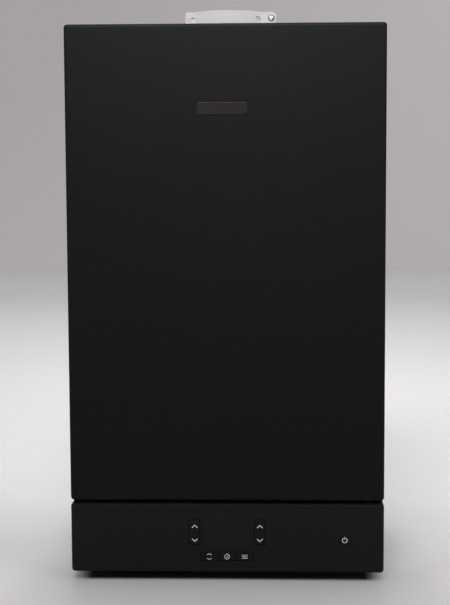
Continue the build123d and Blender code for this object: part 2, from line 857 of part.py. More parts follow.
# Power button
with BuildPart() as power_button:
    rod(facing(power_offset, key_depth, power_level), power_radius - slip_gap, key_depth)
    fillet(power_button.faces().sort_by(Axis.Y)[0].edges(), key_edge)
    rod(facing(power_offset, fascia_wall + key_flange_thickness, power_level),
        power_radius + key_flange, key_flange_thickness)
power_button.part.label = "power_button"
export_step(power_button.part, "parts/power_button.step")

# Pins that the control panel swings on
with BuildPart() as hinge_pins:
    pin_length = arm_outside - lug_outside + lug_width
    for side in (-1, 1):
        inner_end = side * (lug_outside - lug_width)
        outer_end = side * arm_outside
        head_end = inner_end - side * pin_head_length
        rod(flank(min(inner_end, outer_end), pivot_depth, pivot_height), pivot_radius, pin_length)
        rod(flank(min(inner_end, head_end), pivot_depth, pivot_height), pin_head_radius,
            pin_head_length)
hinge_pins.part.label = "hinge_pins"
export_step(hinge_pins.part, "parts/hinge_pins.step")

# Bracket that carries the heat exchanger on the back panel
bracket_top = bracket_base + bracket_reach
with BuildPart() as exchanger_bracket:
    slab(-bracket_half_width, bracket_half_width, shell_rear, shell_rear + bracket_wall, bracket_base,
         bracket_top)
    for edge_level in (bracket_base, bracket_top - bracket_wall):
        slab(-bracket_half_width, bracket_half_width, shell_rear, back_front, edge_level,
             edge_level + bracket_wall)
    slab(-bracket_half_width, bracket_half_width, back_front - bracket_wall, back_front,
         bracket_top - bracket_wall, bracket_top + bracket_foot)
exchanger_bracket.part.label = "exchanger_bracket"
export_step(exchanger_bracket.part, "parts/exchanger_bracket.step")

# Heat exchanger shell, with its studs, water ports, flue spigot and condensate spigot
port_level = exchanger_level - port_drop
port_end = math.sqrt(shell_radius**2 - port_drop**2) + port_reach
spigot_foot = exchanger_level + shell_radius
spigot_radius = flue_bore - slip_gap
drain_surface = exchanger_level - math.sqrt(shell_radius**2 - drain_spigot_offset**2)
with BuildPart() as heat_exchanger:
    rod(facing(0, shell_rear, exchanger_level), shell_radius, shell_rear - shell_front)
    rod(facing(0, shell_front + flange_sheet, exchanger_level), flange_radius, flange_sheet)
    rod(deck(0, flue_depth, exchanger_level), spigot_radius, shell_radius + spigot_rise)
    rod(deck(0, flue_depth, exchanger_level), spigot_radius + spigot_collar,
        shell_radius + spigot_collar_rise)
    rod(flank(-port_end, row_depth, port_level), port_radius, 2 * port_end)
    rod(deck(drain_spigot_offset, drain_spigot_depth, drain_surface - drain_spigot_reach), port_radius,
        drain_spigot_reach + shell_wall)
    rod(facing(0, shell_rear - shell_wall, exchanger_level), shell_radius - shell_wall,
        shell_rear - shell_front, mode=Mode.SUBTRACT)
    rod(deck(0, flue_depth, exchanger_level), spigot_radius - spigot_wall,
        shell_radius + spigot_rise + overrun, mode=Mode.SUBTRACT)
    with Locations(facing(0, shell_front, exchanger_level)):
        with PolarLocations(stud_ring_radius, stud_count):
            Cylinder(stud_radius, stud_length, align=(Align.CENTER, Align.CENTER, Align.MIN))
heat_exchanger.part.label = "heat_exchanger"
export_step(heat_exchanger.part, "parts/heat_exchanger.step")

# Coil pack: a grooved ring that stands for the flat turns pressed side by side
coil_front = shell_front + coil_front_gap
coil_rear = shell_rear - shell_wall
coil_length = coil_rear - coil_front
coil_turns = round(coil_length / coil_pitch)
with BuildPart() as exchanger_coil:
    rod(facing(0, coil_rear, exchanger_level), coil_outer, coil_length)
    rod(facing(0, coil_rear + overrun, exchanger_level), coil_inner, coil_length + 2 * overrun,
        mode=Mode.SUBTRACT)
    for turn in range(1, coil_turns):
        groove_depth = coil_front + turn * coil_length / coil_turns + coil_groove / 2
        with BuildSketch(facing(0, groove_depth, exchanger_level)):
            Circle(coil_outer + overrun)
            Circle(coil_inner + coil_rib, mode=Mode.SUBTRACT)
        extrude(amount=coil_groove, mode=Mode.SUBTRACT)
exchanger_coil.part.label = "exchanger_coil"
export_step(exchanger_coil.part, "parts/exchanger_coil.step")

# Burner door, with its stud holes, ribs, inlet boss and two electrode holes
electrode_places = [
    (side * electrode_ring_radius * math.cos(math.radians(electrode_angle)),
     exchanger_level + electrode_ring_radius * math.sin(math.radians(electrode_angle)))
    for side in (-1, 1)
]
with BuildPart() as burner_door:
    rod(facing(0, shell_front, exchanger_level), flange_radius, door_thickness - door_rib_height)
    rod(facing(0, shell_front, exchanger_level), stud_ring_radius - nut_across, door_thickness)
    rim_recess = stud_ring_radius - nut_across - door_rib_width
    rod(facing(0, door_front + door_rib_height, exchanger_level), rim_recess,
        door_rib_height + overrun, mode=Mode.SUBTRACT)
    with BuildSketch(facing(0, door_front + door_rib_height, exchanger_level)):
        with PolarLocations((door_boss_radius + rim_recess) / 2, door_rib_count):
            Rectangle(rim_recess - door_boss_radius + door_rib_width, door_rib_width)
        for place_x, place_level in electrode_places:
            with Locations((place_x, place_level - exchanger_level)):
                Circle(electrode_plate)
    extrude(amount=door_rib_height)
    rod(facing(0, shell_front, exchanger_level), door_boss_radius, door_thickness + door_boss_height)
    rod(facing(0, shell_front + overrun, exchanger_level), door_bore,
        door_thickness + door_boss_height + 2 * overrun, mode=Mode.SUBTRACT)
    with Locations(facing(0, shell_front + overrun, exchanger_level)):
        with PolarLocations(stud_ring_radius, stud_count):
            Cylinder(stud_radius + slip_gap, door_thickness + 2 * overrun,
                     align=(Align.CENTER, Align.CENTER, Align.MIN), mode=Mode.SUBTRACT)
    for place_x, place_level in electrode_places:
        rod(facing(place_x, shell_front + overrun, place_level), electrode_radius + fit_gap,
            door_thickness + 2 * overrun, mode=Mode.SUBTRACT)
burner_door.part.label = "burner_door"
export_step(burner_door.part, "parts/burner_door.step")

# Six nuts on the door's studs
with BuildPart() as door_nuts:
    with BuildSketch(facing(0, door_front + door_rib_height, exchanger_level)):
        with PolarLocations(stud_ring_radius, stud_count):
            RegularPolygon(nut_across / 2, 6, major_radius=False)
            Circle(stud_radius + fit_gap, mode=Mode.SUBTRACT)
    extrude(amount=nut_height)
door_nuts.part.label = "door_nuts"
export_step(door_nuts.part, "parts/door_nuts.step")

# Burner tube, closed at its far end
burner_length = shell_rear - burner_end_gap - shell_front
with BuildPart() as burner_tube:
    rod(facing(0, shell_front + burner_flange_sheet, exchanger_level), burner_flange,
        burner_flange_sheet)
    rod(facing(0, shell_front + burner_length, exchanger_level), burner_radius, burner_length)
    rod(facing(0, shell_front + burner_length - burner_wall, exchanger_level),
        burner_radius - burner_wall, burner_length + overrun, mode=Mode.SUBTRACT)
burner_tube.part.label = "burner_tube"
export_step(burner_tube.part, "parts/burner_tube.step")

# Ignition and sensing electrodes, each a ceramic body with a plate and a rod
with BuildPart() as ignition_electrodes:
    for place_x, place_level in electrode_places:
        body_rear = shell_front + electrode_inside
        rod(facing(place_x, body_rear, place_level), electrode_radius,
            body_rear - door_front + electrode_front)
        rod(facing(place_x, door_front, place_level), electrode_plate, electrode_plate_sheet)
        rod(facing(place_x, body_rear + electrode_rod_length, place_level), electrode_rod,
            electrode_rod_length)
ignition_electrodes.part.label = "ignition_electrodes"
export_step(ignition_electrodes.part, "parts/ignition_electrodes.step")

# Ignition transformer on the right side panel
igniter_left = inner_half - igniter_width
igniter_level = exchanger_level - igniter_drop
with BuildPart() as ignition_transformer:
    slab(igniter_left, inner_half, igniter_front, igniter_front + igniter_depth, igniter_level,
         igniter_level + igniter_height)
    fillet(ignition_transformer.faces().sort_by(Axis.X)[0].edges(), igniter_edge)
ignition_transformer.part.label = "ignition_transformer"
export_step(ignition_transformer.part, "parts/ignition_transformer.step")

# Ignition lead, from the right electrode to the transformer's front
lead_start = door_front - electrode_front
lead_x, lead_level = electrode_places[1]
lead_end_x = igniter_left + igniter_width / 2
lead_end_level = igniter_level + igniter_height / 2
with BuildPart() as ignition_lead:
    pipe(
        [
            spot(lead_x, lead_start, lead_level),
            spot(lead_x, lead_start - lead_forward, lead_level),
            spot(lead_end_x, lead_start - lead_forward, lead_end_level),
            spot(lead_end_x, igniter_front, lead_end_level),
        ],
        lead_bend,
        lead_radius,
    )
ignition_lead.part.label = "ignition_lead"
export_step(ignition_lead.part, "parts/ignition_lead.step")

# Mixture duct from the fan up to the middle of the door
duct_half = neck_width / 2 + duct_margin
with BuildPart() as mixture_duct:
    with BuildSketch(facing(0, duct_rear, exchanger_level)):
        Circle(duct_half)
        with Locations((0, (duct_foot - exchanger_level) / 2)):
            Rectangle(2 * duct_half, exchanger_level - duct_foot)
    extrude(amount=duct_depth)
    fillet(mixture_duct.faces().sort_by(Axis.Y)[0].edges().filter_by(
        lambda edge: edge.center().Z > level(duct_foot) + overrun), duct_edge)
    slab(-duct_half - outlet_flange_margin, duct_half + outlet_flange_margin, fan_front, fan_rear,
         duct_foot, duct_foot + duct_flange)
    with BuildSketch(facing(0, duct_rear - duct_wall, exchanger_level)):
        Circle(duct_half - duct_wall)
        with Locations((0, (duct_foot - exchanger_level - overrun) / 2)):
            Rectangle(2 * (duct_half - duct_wall), exchanger_level - duct_foot + overrun)
    extrude(amount=duct_depth - 2 * duct_wall, mode=Mode.SUBTRACT)
    rod(facing(0, duct_rear + overrun, exchanger_level), door_bore, duct_wall + 2 * overrun,
        mode=Mode.SUBTRACT)
mixture_duct.part.label = "mixture_duct"
export_step(mixture_duct.part, "parts/mixture_duct.step")


def fan_outline(wall):
    """Scroll and neck of the fan in its own plane, drawn in by a wall."""
    Circle(fan_radius - wall)
    with Locations((fan_radius - neck_width / 2, (fan_radius + neck_rise) / 2)):
        Rectangle(neck_width - 2 * wall, fan_radius + neck_rise)


# Fan housing: a scroll, open at the front, with a neck that points up
with BuildPart() as fan_housing:
    with BuildSketch(facing(fan_x, fan_rear, fan_level)):
        fan_outline(0)
    extrude(amount=fan_depth)
    slab(-duct_half - outlet_flange_margin, duct_half + outlet_flange_margin, fan_front, fan_rear,
         duct_foot - outlet_flange, duct_foot)
    with BuildSketch(facing(fan_x, fan_rear - fan_wall, fan_level)):
        fan_outline(fan_wall)
        with Locations((fan_radius - neck_width / 2, fan_radius)):
            Rectangle(neck_width - 2 * fan_wall, neck_width)
    extrude(amount=duct_depth + (fan_depth - duct_depth) / 2 - fan_wall, mode=Mode.SUBTRACT)
    with BuildSketch(facing(fan_x, fan_middle, fan_level)):
        fan_outline(fan_wall)
    extrude(amount=fan_depth, mode=Mode.SUBTRACT)
    rod(facing(fan_x, fan_rear + overrun, fan_level), fan_inlet, fan_wall + 2 * overrun,
        mode=Mode.SUBTRACT)
fan_housing.part.label = "fan_housing"
export_step(fan_housing.part, "parts/fan_housing.step")

# Fan motor on the plate that closes the scroll
motor_front = fan_front - fan_plate - fan_motor_length
with BuildPart() as fan_motor:
    with BuildSketch(facing(fan_x, fan_front, fan_level)):
        fan_outline(0)
    extrude(amount=fan_plate)
    rod(facing(fan_x, fan_front, fan_level), fan_motor_radius, fan_front - motor_front)
    fillet(fan_motor.faces().sort_by(Axis.Y)[0].edges(), fan_plate)
    rod(facing(fan_x, fan_front + overrun, fan_level), shaft_radius + fit_gap,
        shaft_bite + overrun + slip_gap, mode=Mode.SUBTRACT)
fan_motor.part.label = "fan_motor"
export_step(fan_motor.part, "parts/fan_motor.step")


def wheel(x, front, height, radius, width, disc, eye, hub, blades, blade_sheet):
    """Closed wheel: two discs with leaning blades between them, its eye at the rear."""
    blade_length = radius - hub
    rod(facing(x, front + disc, height), radius, disc)
    rod(facing(x, front + width, height), hub, width)
    with BuildSketch(facing(x, front + width, height)) as shroud:
        Circle(radius)
        Circle(eye, mode=Mode.SUBTRACT)
    extrude(shroud.sketch, amount=disc)
    with BuildSketch(facing(x, front + width, height)) as blading:
        with PolarLocations((hub + radius) / 2, blades):
            Rectangle(blade_length, blade_sheet, rotation=math.degrees(math.asin(hub / radius)))
        Circle(hub)
    extrude(blading.sketch, amount=width)


# Fan impeller with its shaft in the motor
wheel_radius = fan_radius - wheel_clearance
with BuildPart() as fan_impeller:
    wheel(fan_x, fan_front + wheel_gap, fan_level, wheel_radius, wheel_width, wheel_disc, wheel_eye,
          wheel_hub, wheel_blades, wheel_blade_sheet)
    rod(facing(fan_x, fan_front + wheel_gap, fan_level), shaft_radius, wheel_gap + shaft_bite)
fan_impeller.part.label = "fan_impeller"
export_step(fan_impeller.part, "parts/fan_impeller.step")

# Venturi behind the fan, where the gas joins the air
with BuildPart() as venturi:
    rod(facing(fan_x, fan_rear + venturi_flange_sheet, fan_level), venturi_flange,
        venturi_flange_sheet)
    rod(facing(fan_x, venturi_rear, fan_level), venturi_mouth + venturi_wall, venturi_length)
    rod(flank(fan_x, valve_middle, fan_level), venturi_boss, venturi_boss_reach)
    with Locations(facing(fan_x, fan_rear + venturi_length / 4, fan_level)):
        Cone(venturi_throat, venturi_mouth, venturi_length / 2,
             align=(Align.CENTER, Align.CENTER, Align.MIN), mode=Mode.SUBTRACT)
    with Locations(facing(fan_x, venturi_rear + overrun, fan_level)):
        Cone(venturi_mouth, venturi_throat, 3 * venturi_length / 4 + overrun,
             align=(Align.CENTER, Align.CENTER, Align.MIN), mode=Mode.SUBTRACT)
    rod(facing(fan_x, venturi_rear, fan_level), venturi_throat, venturi_length + overrun,
        mode=Mode.SUBTRACT)
venturi.part.label = "venturi"
export_step(venturi.part, "parts/venturi.step")

# Gas valve block, with its coils in front and its ports below and to the left
with BuildPart() as gas_valve:
    slab(valve_left, valve_left + valve_width, valve_front, valve_front + valve_depth, valve_base,
         valve_base + valve_height)
    fillet(gas_valve.edges(), valve_edge)
    for coil_level in (fan_level - valve_height / 4, fan_level + valve_height / 4):
        rod(facing(valve_x, valve_front + overrun, coil_level), valve_coil_radius,
            valve_coil_reach + overrun)
    rod(deck(valve_x, valve_middle, valve_base - valve_port_reach), valve_port_radius,
        valve_port_reach + overrun)
    rod(flank(valve_left - valve_port_reach, valve_middle, fan_level), valve_port_radius,
        valve_port_reach + overrun)
gas_valve.part.label = "gas_valve"
export_step(gas_valve.part, "parts/gas_valve.step")


def mouth(x, depth, height, bore):
    """Open end of a pipe: a blind bore up from its lower end."""
    rod(deck(x, depth, height - overrun), bore, mouth_depth + overrun, mode=Mode.SUBTRACT)


def stub(x, radius):
    """Open threaded stub below the tray, with a neck through it and a hexagon that rests on it."""
    rod(deck(x, row_depth, -stub_reach), radius, stub_reach + tray_height - stub_neck)
    rod(deck(x, row_depth, -stub_reach), radius - neck_step, stub_reach + tray_top)
    hexagon(deck(x, row_depth, tray_top), 2 * (radius + shoulder_margin), shoulder_height)
    mouth(x, row_depth, -stub_reach, radius - stub_wall)


# Gas pipes: the inlet with its stub, and the feed from the valve to the venturi
gas_turn = valve_base - valve_port_reach - gas_turn_drop
with BuildPart() as gas_pipes:
    pipe(
        [
            spot(0, row_depth, -stub_reach),
            spot(0, row_depth, gas_turn),
            spot(valve_x, valve_middle, gas_turn),
            spot(valve_x, valve_middle, valve_base - valve_port_reach),
        ],
        gas_bend,
        gas_pipe_radius,
    )
    stub(0, large_stub)
    rod(flank(fan_x + venturi_boss_reach, valve_middle, fan_level), feed_radius,
        feed_length - valve_port_reach)
gas_pipes.part.label = "gas_pipes"
export_step(gas_pipes.part, "parts/gas_pipes.step")

# Flue pipe: a socket over the exchanger's spigot, a plain pipe and a socket in the roof
pipe_foot = spigot_foot + spigot_collar_rise
pipe_top = case_height + flue_rise
with BuildPart() as flue_pipe:
    rod(deck(0, flue_depth, pipe_foot), flue_bore, pipe_top - pipe_foot)
    rod(deck(0, flue_depth, pipe_foot), flue_bore + flue_wall, socket_foot_length + flue_wall)
    rod(deck(0, flue_depth, pipe_top - socket_length - flue_wall), flue_bore + flue_wall,
        socket_length + flue_wall)
    rod(deck(0, flue_depth, pipe_top - bead_drop - bead_height), bead_radius, bead_height)
    rod(deck(0, flue_depth, pipe_foot), flue_bore - flue_wall, pipe_top - pipe_foot,
        mode=Mode.SUBTRACT)
    rod(deck(0, flue_depth, pipe_foot - overrun), flue_bore, socket_foot_length + overrun,
        mode=Mode.SUBTRACT)
    rod(deck(0, flue_depth, pipe_top - socket_length), flue_bore, socket_length + overrun,
        mode=Mode.SUBTRACT)
    rod(deck(0, flue_depth, pipe_top - bead_drop - bead_height + flue_wall), flue_bore + seal_section,
        bead_height - 2 * flue_wall, mode=Mode.SUBTRACT)
flue_pipe.part.label = "flue_pipe"
export_step(flue_pipe.part, "parts/flue_pipe.step")

# Lip seal in the bead of the flue pipe
with BuildPart() as flue_seal:
    with BuildSketch(deck(0, flue_depth, pipe_top - bead_drop - bead_height + flue_wall)):
        Circle(flue_bore + seal_section - slip_gap)
        Circle(flue_bore, mode=Mode.SUBTRACT)
    extrude(amount=bead_height - 2 * flue_wall)
flue_seal.part.label = "flue_seal"
export_step(flue_seal.part, "parts/flue_seal.step")

# Outer collar on the roof, which takes the air pipe
with BuildPart() as flue_collar:
    with BuildSketch(deck(0, flue_depth, case_height)):
        RectangleRounded(collar_flange, collar_flange, collar_flange_corner)
        with GridLocations(collar_screw_width, collar_screw_width, 2, 2):
            Circle(screw_radius + fit_gap, mode=Mode.SUBTRACT)
    extrude(amount=collar_flange_sheet)
    rod(deck(0, flue_depth, case_height), collar_radius, collar_rise)
    rod(deck(0, flue_depth, case_height - overrun), collar_radius - collar_wall,
        collar_rise + 2 * overrun, mode=Mode.SUBTRACT)
flue_collar.part.label = "flue_collar"
export_step(flue_collar.part, "parts/flue_collar.step")

# Four screws through the collar's flange
with BuildPart() as collar_screws:
    flange_top = case_height + collar_flange_sheet
    with BuildSketch(deck(0, flue_depth, flange_top)):
        with GridLocations(collar_screw_width, collar_screw_width, 2, 2):
            Circle(screw_head_radius)
    extrude(amount=screw_head_height)
    fillet(collar_screws.faces().sort_by(Axis.Z)[-4:].edges(), screw_head_height / 2)
    with BuildSketch(deck(0, flue_depth, case_height)):
        with GridLocations(collar_screw_width, collar_screw_width, 2, 2):
            Circle(screw_radius)
    extrude(amount=collar_flange_sheet)
collar_screws.part.label = "collar_screws"
export_step(collar_screws.part, "parts/collar_screws.step")

# Flue clamp: two straps round the collar, hooked on the left and screwed on the right
clamp_inner = collar_radius + slip_gap
clamp_outer = clamp_inner + clamp_sheet
fold_x = math.sqrt(clamp_inner**2 - clamp_split**2)
clamp_base = case_height + clamp_foot
clamp_middle = clamp_base + clamp_height / 2
clamp_reach = 2 * clamp_outer
slot_x = -fold_x - left_ear / 2
screw_x = fold_x + right_ear - clamp_screw_inset
with BuildPart() as flue_clamp_front:
    with BuildSketch(deck(0, flue_depth, clamp_base)):
        Circle(clamp_outer)
        Circle(clamp_inner, mode=Mode.SUBTRACT)
        with Locations((0, clamp_reach / 2 - clamp_split)):
            Rectangle(clamp_reach, clamp_reach, mode=Mode.SUBTRACT)
        with Locations((-fold_x, -clamp_split)):
            Rectangle(left_ear, clamp_sheet, align=(Align.MAX, Align.MAX))
        with Locations((fold_x, -clamp_split)):
            Rectangle(right_ear, clamp_sheet, align=(Align.MIN, Align.MAX))
    extrude(amount=clamp_height)
    ear_ends = flue_clamp_front.edges().filter_by(Axis.Y)
    fillet(ear_ends.group_by(Axis.X)[-1], ear_corner)
    fillet(flue_clamp_front.edges().filter_by(Axis.Y).group_by(Axis.X)[0], ear_corner / 2)
    slab(slot_x - ear_slot_width / 2, slot_x + ear_slot_width / 2,
         flue_depth - clamp_split - clamp_sheet - overrun, flue_depth - clamp_split + overrun,
         clamp_middle - ear_slot_height / 2, clamp_middle + ear_slot_height / 2, mode=Mode.SUBTRACT)
    rod(facing(screw_x, flue_depth - clamp_split + overrun, clamp_middle), clamp_screw_radius + fit_gap,
        clamp_sheet + 2 * overrun, mode=Mode.SUBTRACT)
flue_clamp_front.part.label = "flue_clamp_front"
export_step(flue_clamp_front.part, "parts/flue_clamp_front.step")

with BuildPart() as flue_clamp_rear:
    with BuildSketch(deck(0, flue_depth, clamp_base)):
        Circle(clamp_outer)
        Circle(clamp_inner, mode=Mode.SUBTRACT)
        with Locations((0, -clamp_split)):
            Rectangle(clamp_reach, clamp_reach, align=(Align.CENTER, Align.MAX), mode=Mode.SUBTRACT)
        with Locations((-fold_x, -clamp_split)):
            Rectangle(left_ear, clamp_sheet, align=(Align.MAX, Align.MIN))
        with Locations((fold_x, -clamp_split)):
            Rectangle(right_ear, clamp_sheet, align=(Align.MIN, Align.MIN))
        Circle(clamp_inner, mode=Mode.SUBTRACT)
    extrude(amount=clamp_height)
    fillet(flue_clamp_rear.edges().filter_by(Axis.Y).group_by(Axis.X)[-1], ear_corner)
    fillet(flue_clamp_rear.edges().filter_by(Axis.Y).group_by(Axis.X)[0], ear_corner / 2)
    tongue_half = ear_slot_width / 2 - slip_gap
    slab(slot_x - tongue_half, slot_x + tongue_half,
         flue_depth - clamp_split - 2 * clamp_sheet, flue_depth - clamp_split,
         clamp_middle - ear_slot_height / 2 + slip_gap, clamp_middle + ear_slot_height / 2 - slip_gap)
    rod(facing(screw_x, flue_depth - clamp_split + clamp_sheet + overrun, clamp_middle),
        clamp_screw_radius + fit_gap, clamp_sheet + 2 * overrun, mode=Mode.SUBTRACT)
flue_clamp_rear.part.label = "flue_clamp_rear"
export_step(flue_clamp_rear.part, "parts/flue_clamp_rear.step")

# Clamp screw with its nut
with BuildPart() as clamp_screw:
    head_seat = flue_depth - clamp_split - clamp_sheet
    nut_seat = flue_depth - clamp_split + clamp_sheet
    rod(facing(screw_x, head_seat, clamp_middle), clamp_screw_head, clamp_screw_head_height)
    fillet(clamp_screw.faces().sort_by(Axis.Y)[0].edges(), clamp_screw_head_height / 2)
    rod(facing(screw_x, nut_seat + clamp_nut_height, clamp_middle), clamp_screw_radius,
        nut_seat + clamp_nut_height - head_seat)
    hexagon(facing(screw_x, nut_seat + clamp_nut_height, clamp_middle), clamp_nut, clamp_nut_height)
clamp_screw.part.label = "clamp_screw"
export_step(clamp_screw.part, "parts/clamp_screw.step")

# Expansion vessel: a flat drum against the back panel, with a rolled rim and its pipe's hole
with BuildPart() as vessel_hollow:
    rod(facing(0, back_front - vessel_wall, vessel_level), vessel_radius - vessel_wall,
        vessel_depth - 2 * vessel_wall)
    fillet(vessel_hollow.edges().filter_by(GeomType.CIRCLE), vessel_edge - vessel_wall)
with BuildPart() as expansion_vessel:
    rod(facing(0, back_front, vessel_level), vessel_radius, vessel_depth)
    fillet(expansion_vessel.edges().filter_by(GeomType.CIRCLE), vessel_edge)
    rod(facing(0, back_front - vessel_depth / 2 + vessel_rim_sheet / 2, vessel_level),
        vessel_radius + vessel_rim, vessel_rim_sheet)
    add(vessel_hollow.part, mode=Mode.SUBTRACT)
    rod(facing(vessel_port_x, vessel_front + vessel_wall + overrun, vessel_port_level),
        vessel_pipe_radius / 2, vessel_wall + 2 * overrun, mode=Mode.SUBTRACT)
expansion_vessel.part.label = "expansion_vessel"
export_step(expansion_vessel.part, "parts/expansion_vessel.step")

# Heating flow and return pipes, and the pipe of the expansion vessel
vessel_pipe_foot = return_manifold_level + manifold_radius
with BuildPart() as heating_pipes:
    for side in (-1, 1):
        pipe(
            [
                spot(side * riser_offset, row_depth, riser_top),
                spot(side * riser_offset, row_depth, port_level),
                spot(side * port_end, row_depth, port_level),
            ],
            heating_pipe_bend,
            heating_pipe_radius,
        )
    pipe(
        [
            spot(vessel_port_x, vessel_front, vessel_port_level),
            spot(vessel_port_x, row_depth, vessel_port_level),
            spot(vessel_port_x, row_depth, vessel_pipe_foot),
        ],
        vessel_pipe_bend,
        vessel_pipe_radius,
    )
heating_pipes.part.label = "heating_pipes"
export_step(heating_pipes.part, "parts/heating_pipes.step")


def connection(x, radius, tube_radius, tube_top):
    """Threaded stub with a tube above it."""
    stub(x, radius)
    rod(deck(x, row_depth, tray_top), tube_radius, tube_top - tray_top)


# Flow group: heating flow on the left, hot water beside it, joined by a level manifold
with BuildPart() as flow_group:
    connection(-2 * row_pitch, large_stub, group_pipe_radius, flow_manifold_level)
    connection(-row_pitch, small_stub, group_small_radius, flow_manifold_level)
    rod(flank(-riser_offset - manifold_overhang, row_depth, flow_manifold_level), manifold_radius,
        riser_offset + manifold_overhang + safety_offset + safety_boss_radius)
    rod(deck(-riser_offset, row_depth, flow_manifold_level), riser_radius,
        riser_top - flow_manifold_level)
    rod(facing(diverter_offset, row_depth, flow_manifold_level), diverter_boss_radius,
        diverter_boss_reach)
    rod(facing(safety_offset, row_depth, flow_manifold_level), safety_boss_radius, safety_boss_reach)
    for port_height in (plate_port_low, plate_port_high):
        rod(facing(-plate_port_x, group_rear, port_height), group_port_radius, group_port_reach)
    slab(trap_offset - trap_seat, trap_offset + trap_seat, trap_depth - trap_seat / 2,
         row_depth - (riser_radius + heating_pipe_radius) / 2, flow_manifold_level, trap_base)
flow_group.part.label = "flow_group"
export_step(flow_group.part, "parts/flow_group.step")

# Diverter motor on the flow group's front boss
with BuildPart() as diverter_motor:
    diverter_rear = row_depth - diverter_boss_reach
    slab(diverter_offset - diverter_width / 2, diverter_offset + diverter_width / 2,
         diverter_rear - diverter_length, diverter_rear, flow_manifold_level - diverter_height / 2,
         flow_manifold_level + diverter_height / 2)
    fillet(diverter_motor.edges(), diverter_edge)
diverter_motor.part.label = "diverter_motor"
export_step(diverter_motor.part, "parts/diverter_motor.step")

# Safety valve, with its relief pipe down through the tray
safety_rear = row_depth - safety_boss_reach
with BuildPart() as safety_valve:
    rod(facing(safety_offset, safety_rear, flow_manifold_level), safety_radius, safety_length)
    rod(deck(safety_offset, safety_front + safety_outlet_depth, -stub_reach / 2), relief_radius,
        flow_manifold_level + stub_reach / 2)
    mouth(safety_offset, safety_front + safety_outlet_depth, -stub_reach / 2,
          relief_radius - relief_wall)
    rod(facing(safety_offset, safety_front + safety_stem_length + slip_gap, flow_manifold_level),
        safety_stem_radius + fit_gap, safety_stem_length + slip_gap + overrun, mode=Mode.SUBTRACT)
safety_valve.part.label = "safety_valve"
export_step(safety_valve.part, "parts/safety_valve.step")


def ribbed_knob(plane, radius, length, ribs):
    """Round knob with grip ribs along its rim."""
    rod(plane, radius - knob_rib, length)
    with Locations(plane):
        with PolarLocations(radius - knob_rib, ribs):
            Cylinder(knob_rib, length, align=(Align.CENTER, Align.CENTER, Align.MIN))


# Knob that lifts the safety valve
with BuildPart() as safety_valve_knob:
    ribbed_knob(facing(safety_offset, safety_front, flow_manifold_level), safety_knob_radius,
                safety_knob_length, safety_knob_ribs)
    rod(facing(safety_offset, safety_front + safety_stem_length, flow_manifold_level),
        safety_stem_radius, safety_stem_length)
safety_valve_knob.part.label = "safety_valve_knob"
export_step(safety_valve_knob.part, "parts/safety_valve_knob.step")

# Return group: cold water and heating return, the pump volute, and bosses for vent and filling tap
vent_base_top = pump_level + vent_base_rise
with BuildPart() as return_group:
    connection(2 * row_pitch, large_stub, group_pipe_radius, return_manifold_level)
    connection(row_pitch, small_stub, group_small_radius, plate_port_high)
    rod(flank(row_pitch, row_depth, return_manifold_level), manifold_radius,
        riser_offset + manifold_overhang - row_pitch)
    rod(deck(riser_offset, row_depth, return_manifold_level), riser_radius,
        riser_top - return_manifold_level)
    rod(facing(pump_offset, row_depth, pump_level), pump_neck_radius, pump_reach)
    rod(facing(pump_offset, row_depth - pump_reach, pump_level), pump_radius, pump_depth)
    rod(deck(pump_offset, row_depth, return_manifold_level), pump_neck_radius,
        pump_level - return_manifold_level)
    rod(deck(pump_offset, vent_depth, pump_level), vent_base_radius, vent_base_rise)
    rod(deck(fill_offset, fill_depth, fill_body_base), fill_body_radius,
        pump_level - pump_radius / 2 - fill_body_base)
    for port_height in (plate_port_low, plate_port_high):
        rod(facing(plate_port_x, group_rear, port_height), group_port_radius, group_port_reach)
    rod(facing(pump_offset, row_depth - pump_reach - pump_wall, pump_level), pump_radius - pump_wall,
        pump_depth, mode=Mode.SUBTRACT)
    rod(deck(fill_offset, fill_depth, fill_body_base - overrun), fill_stem_radius + fit_gap,
        fill_stem_bite + slip_gap + overrun, mode=Mode.SUBTRACT)
return_group.part.label = "return_group"
export_step(return_group.part, "parts/return_group.step")

# Pump motor, which closes the volute
with BuildPart() as pump_motor:
    rod(facing(pump_offset, pump_face, pump_level), pump_radius, pump_flange_sheet)
    rod(facing(pump_offset, pump_face, pump_level), pump_motor_radius, pump_motor_length)
    fillet(pump_motor.faces().sort_by(Axis.Y)[0].edges(), pump_motor_edge)
    rod(facing(pump_offset, pump_face - pump_motor_length, pump_level), pump_plug_radius,
        pump_plug_length)
    slab(pump_offset - pump_box_width / 2, pump_offset + pump_box_width / 2,
         pump_face - pump_flange_sheet - pump_box_depth, pump_face - pump_flange_sheet,
         pump_level + pump_motor_radius / 2, pump_level + pump_motor_radius + pump_box_rise)
    rod(facing(pump_offset, pump_face + overrun, pump_level), pump_shaft_radius + fit_gap,
        pump_shaft_bite + overrun + slip_gap, mode=Mode.SUBTRACT)
pump_motor.part.label = "pump_motor"
export_step(pump_motor.part, "parts/pump_motor.step")

# Pump impeller with its shaft in the motor
with BuildPart() as pump_impeller:
    wheel(pump_offset, pump_face + pump_wheel_clearance, pump_level,
          pump_radius - pump_wall - pump_wheel_clearance, pump_wheel_width, wheel_disc,
          pump_wheel_eye, pump_shaft_radius + wheel_disc, pump_wheel_blades, wheel_blade_sheet)
    rod(facing(pump_offset, pump_face + pump_wheel_clearance, pump_level), pump_shaft_radius,
        pump_wheel_clearance + pump_shaft_bite)
pump_impeller.part.label = "pump_impeller"
export_step(pump_impeller.part, "parts/pump_impeller.step")

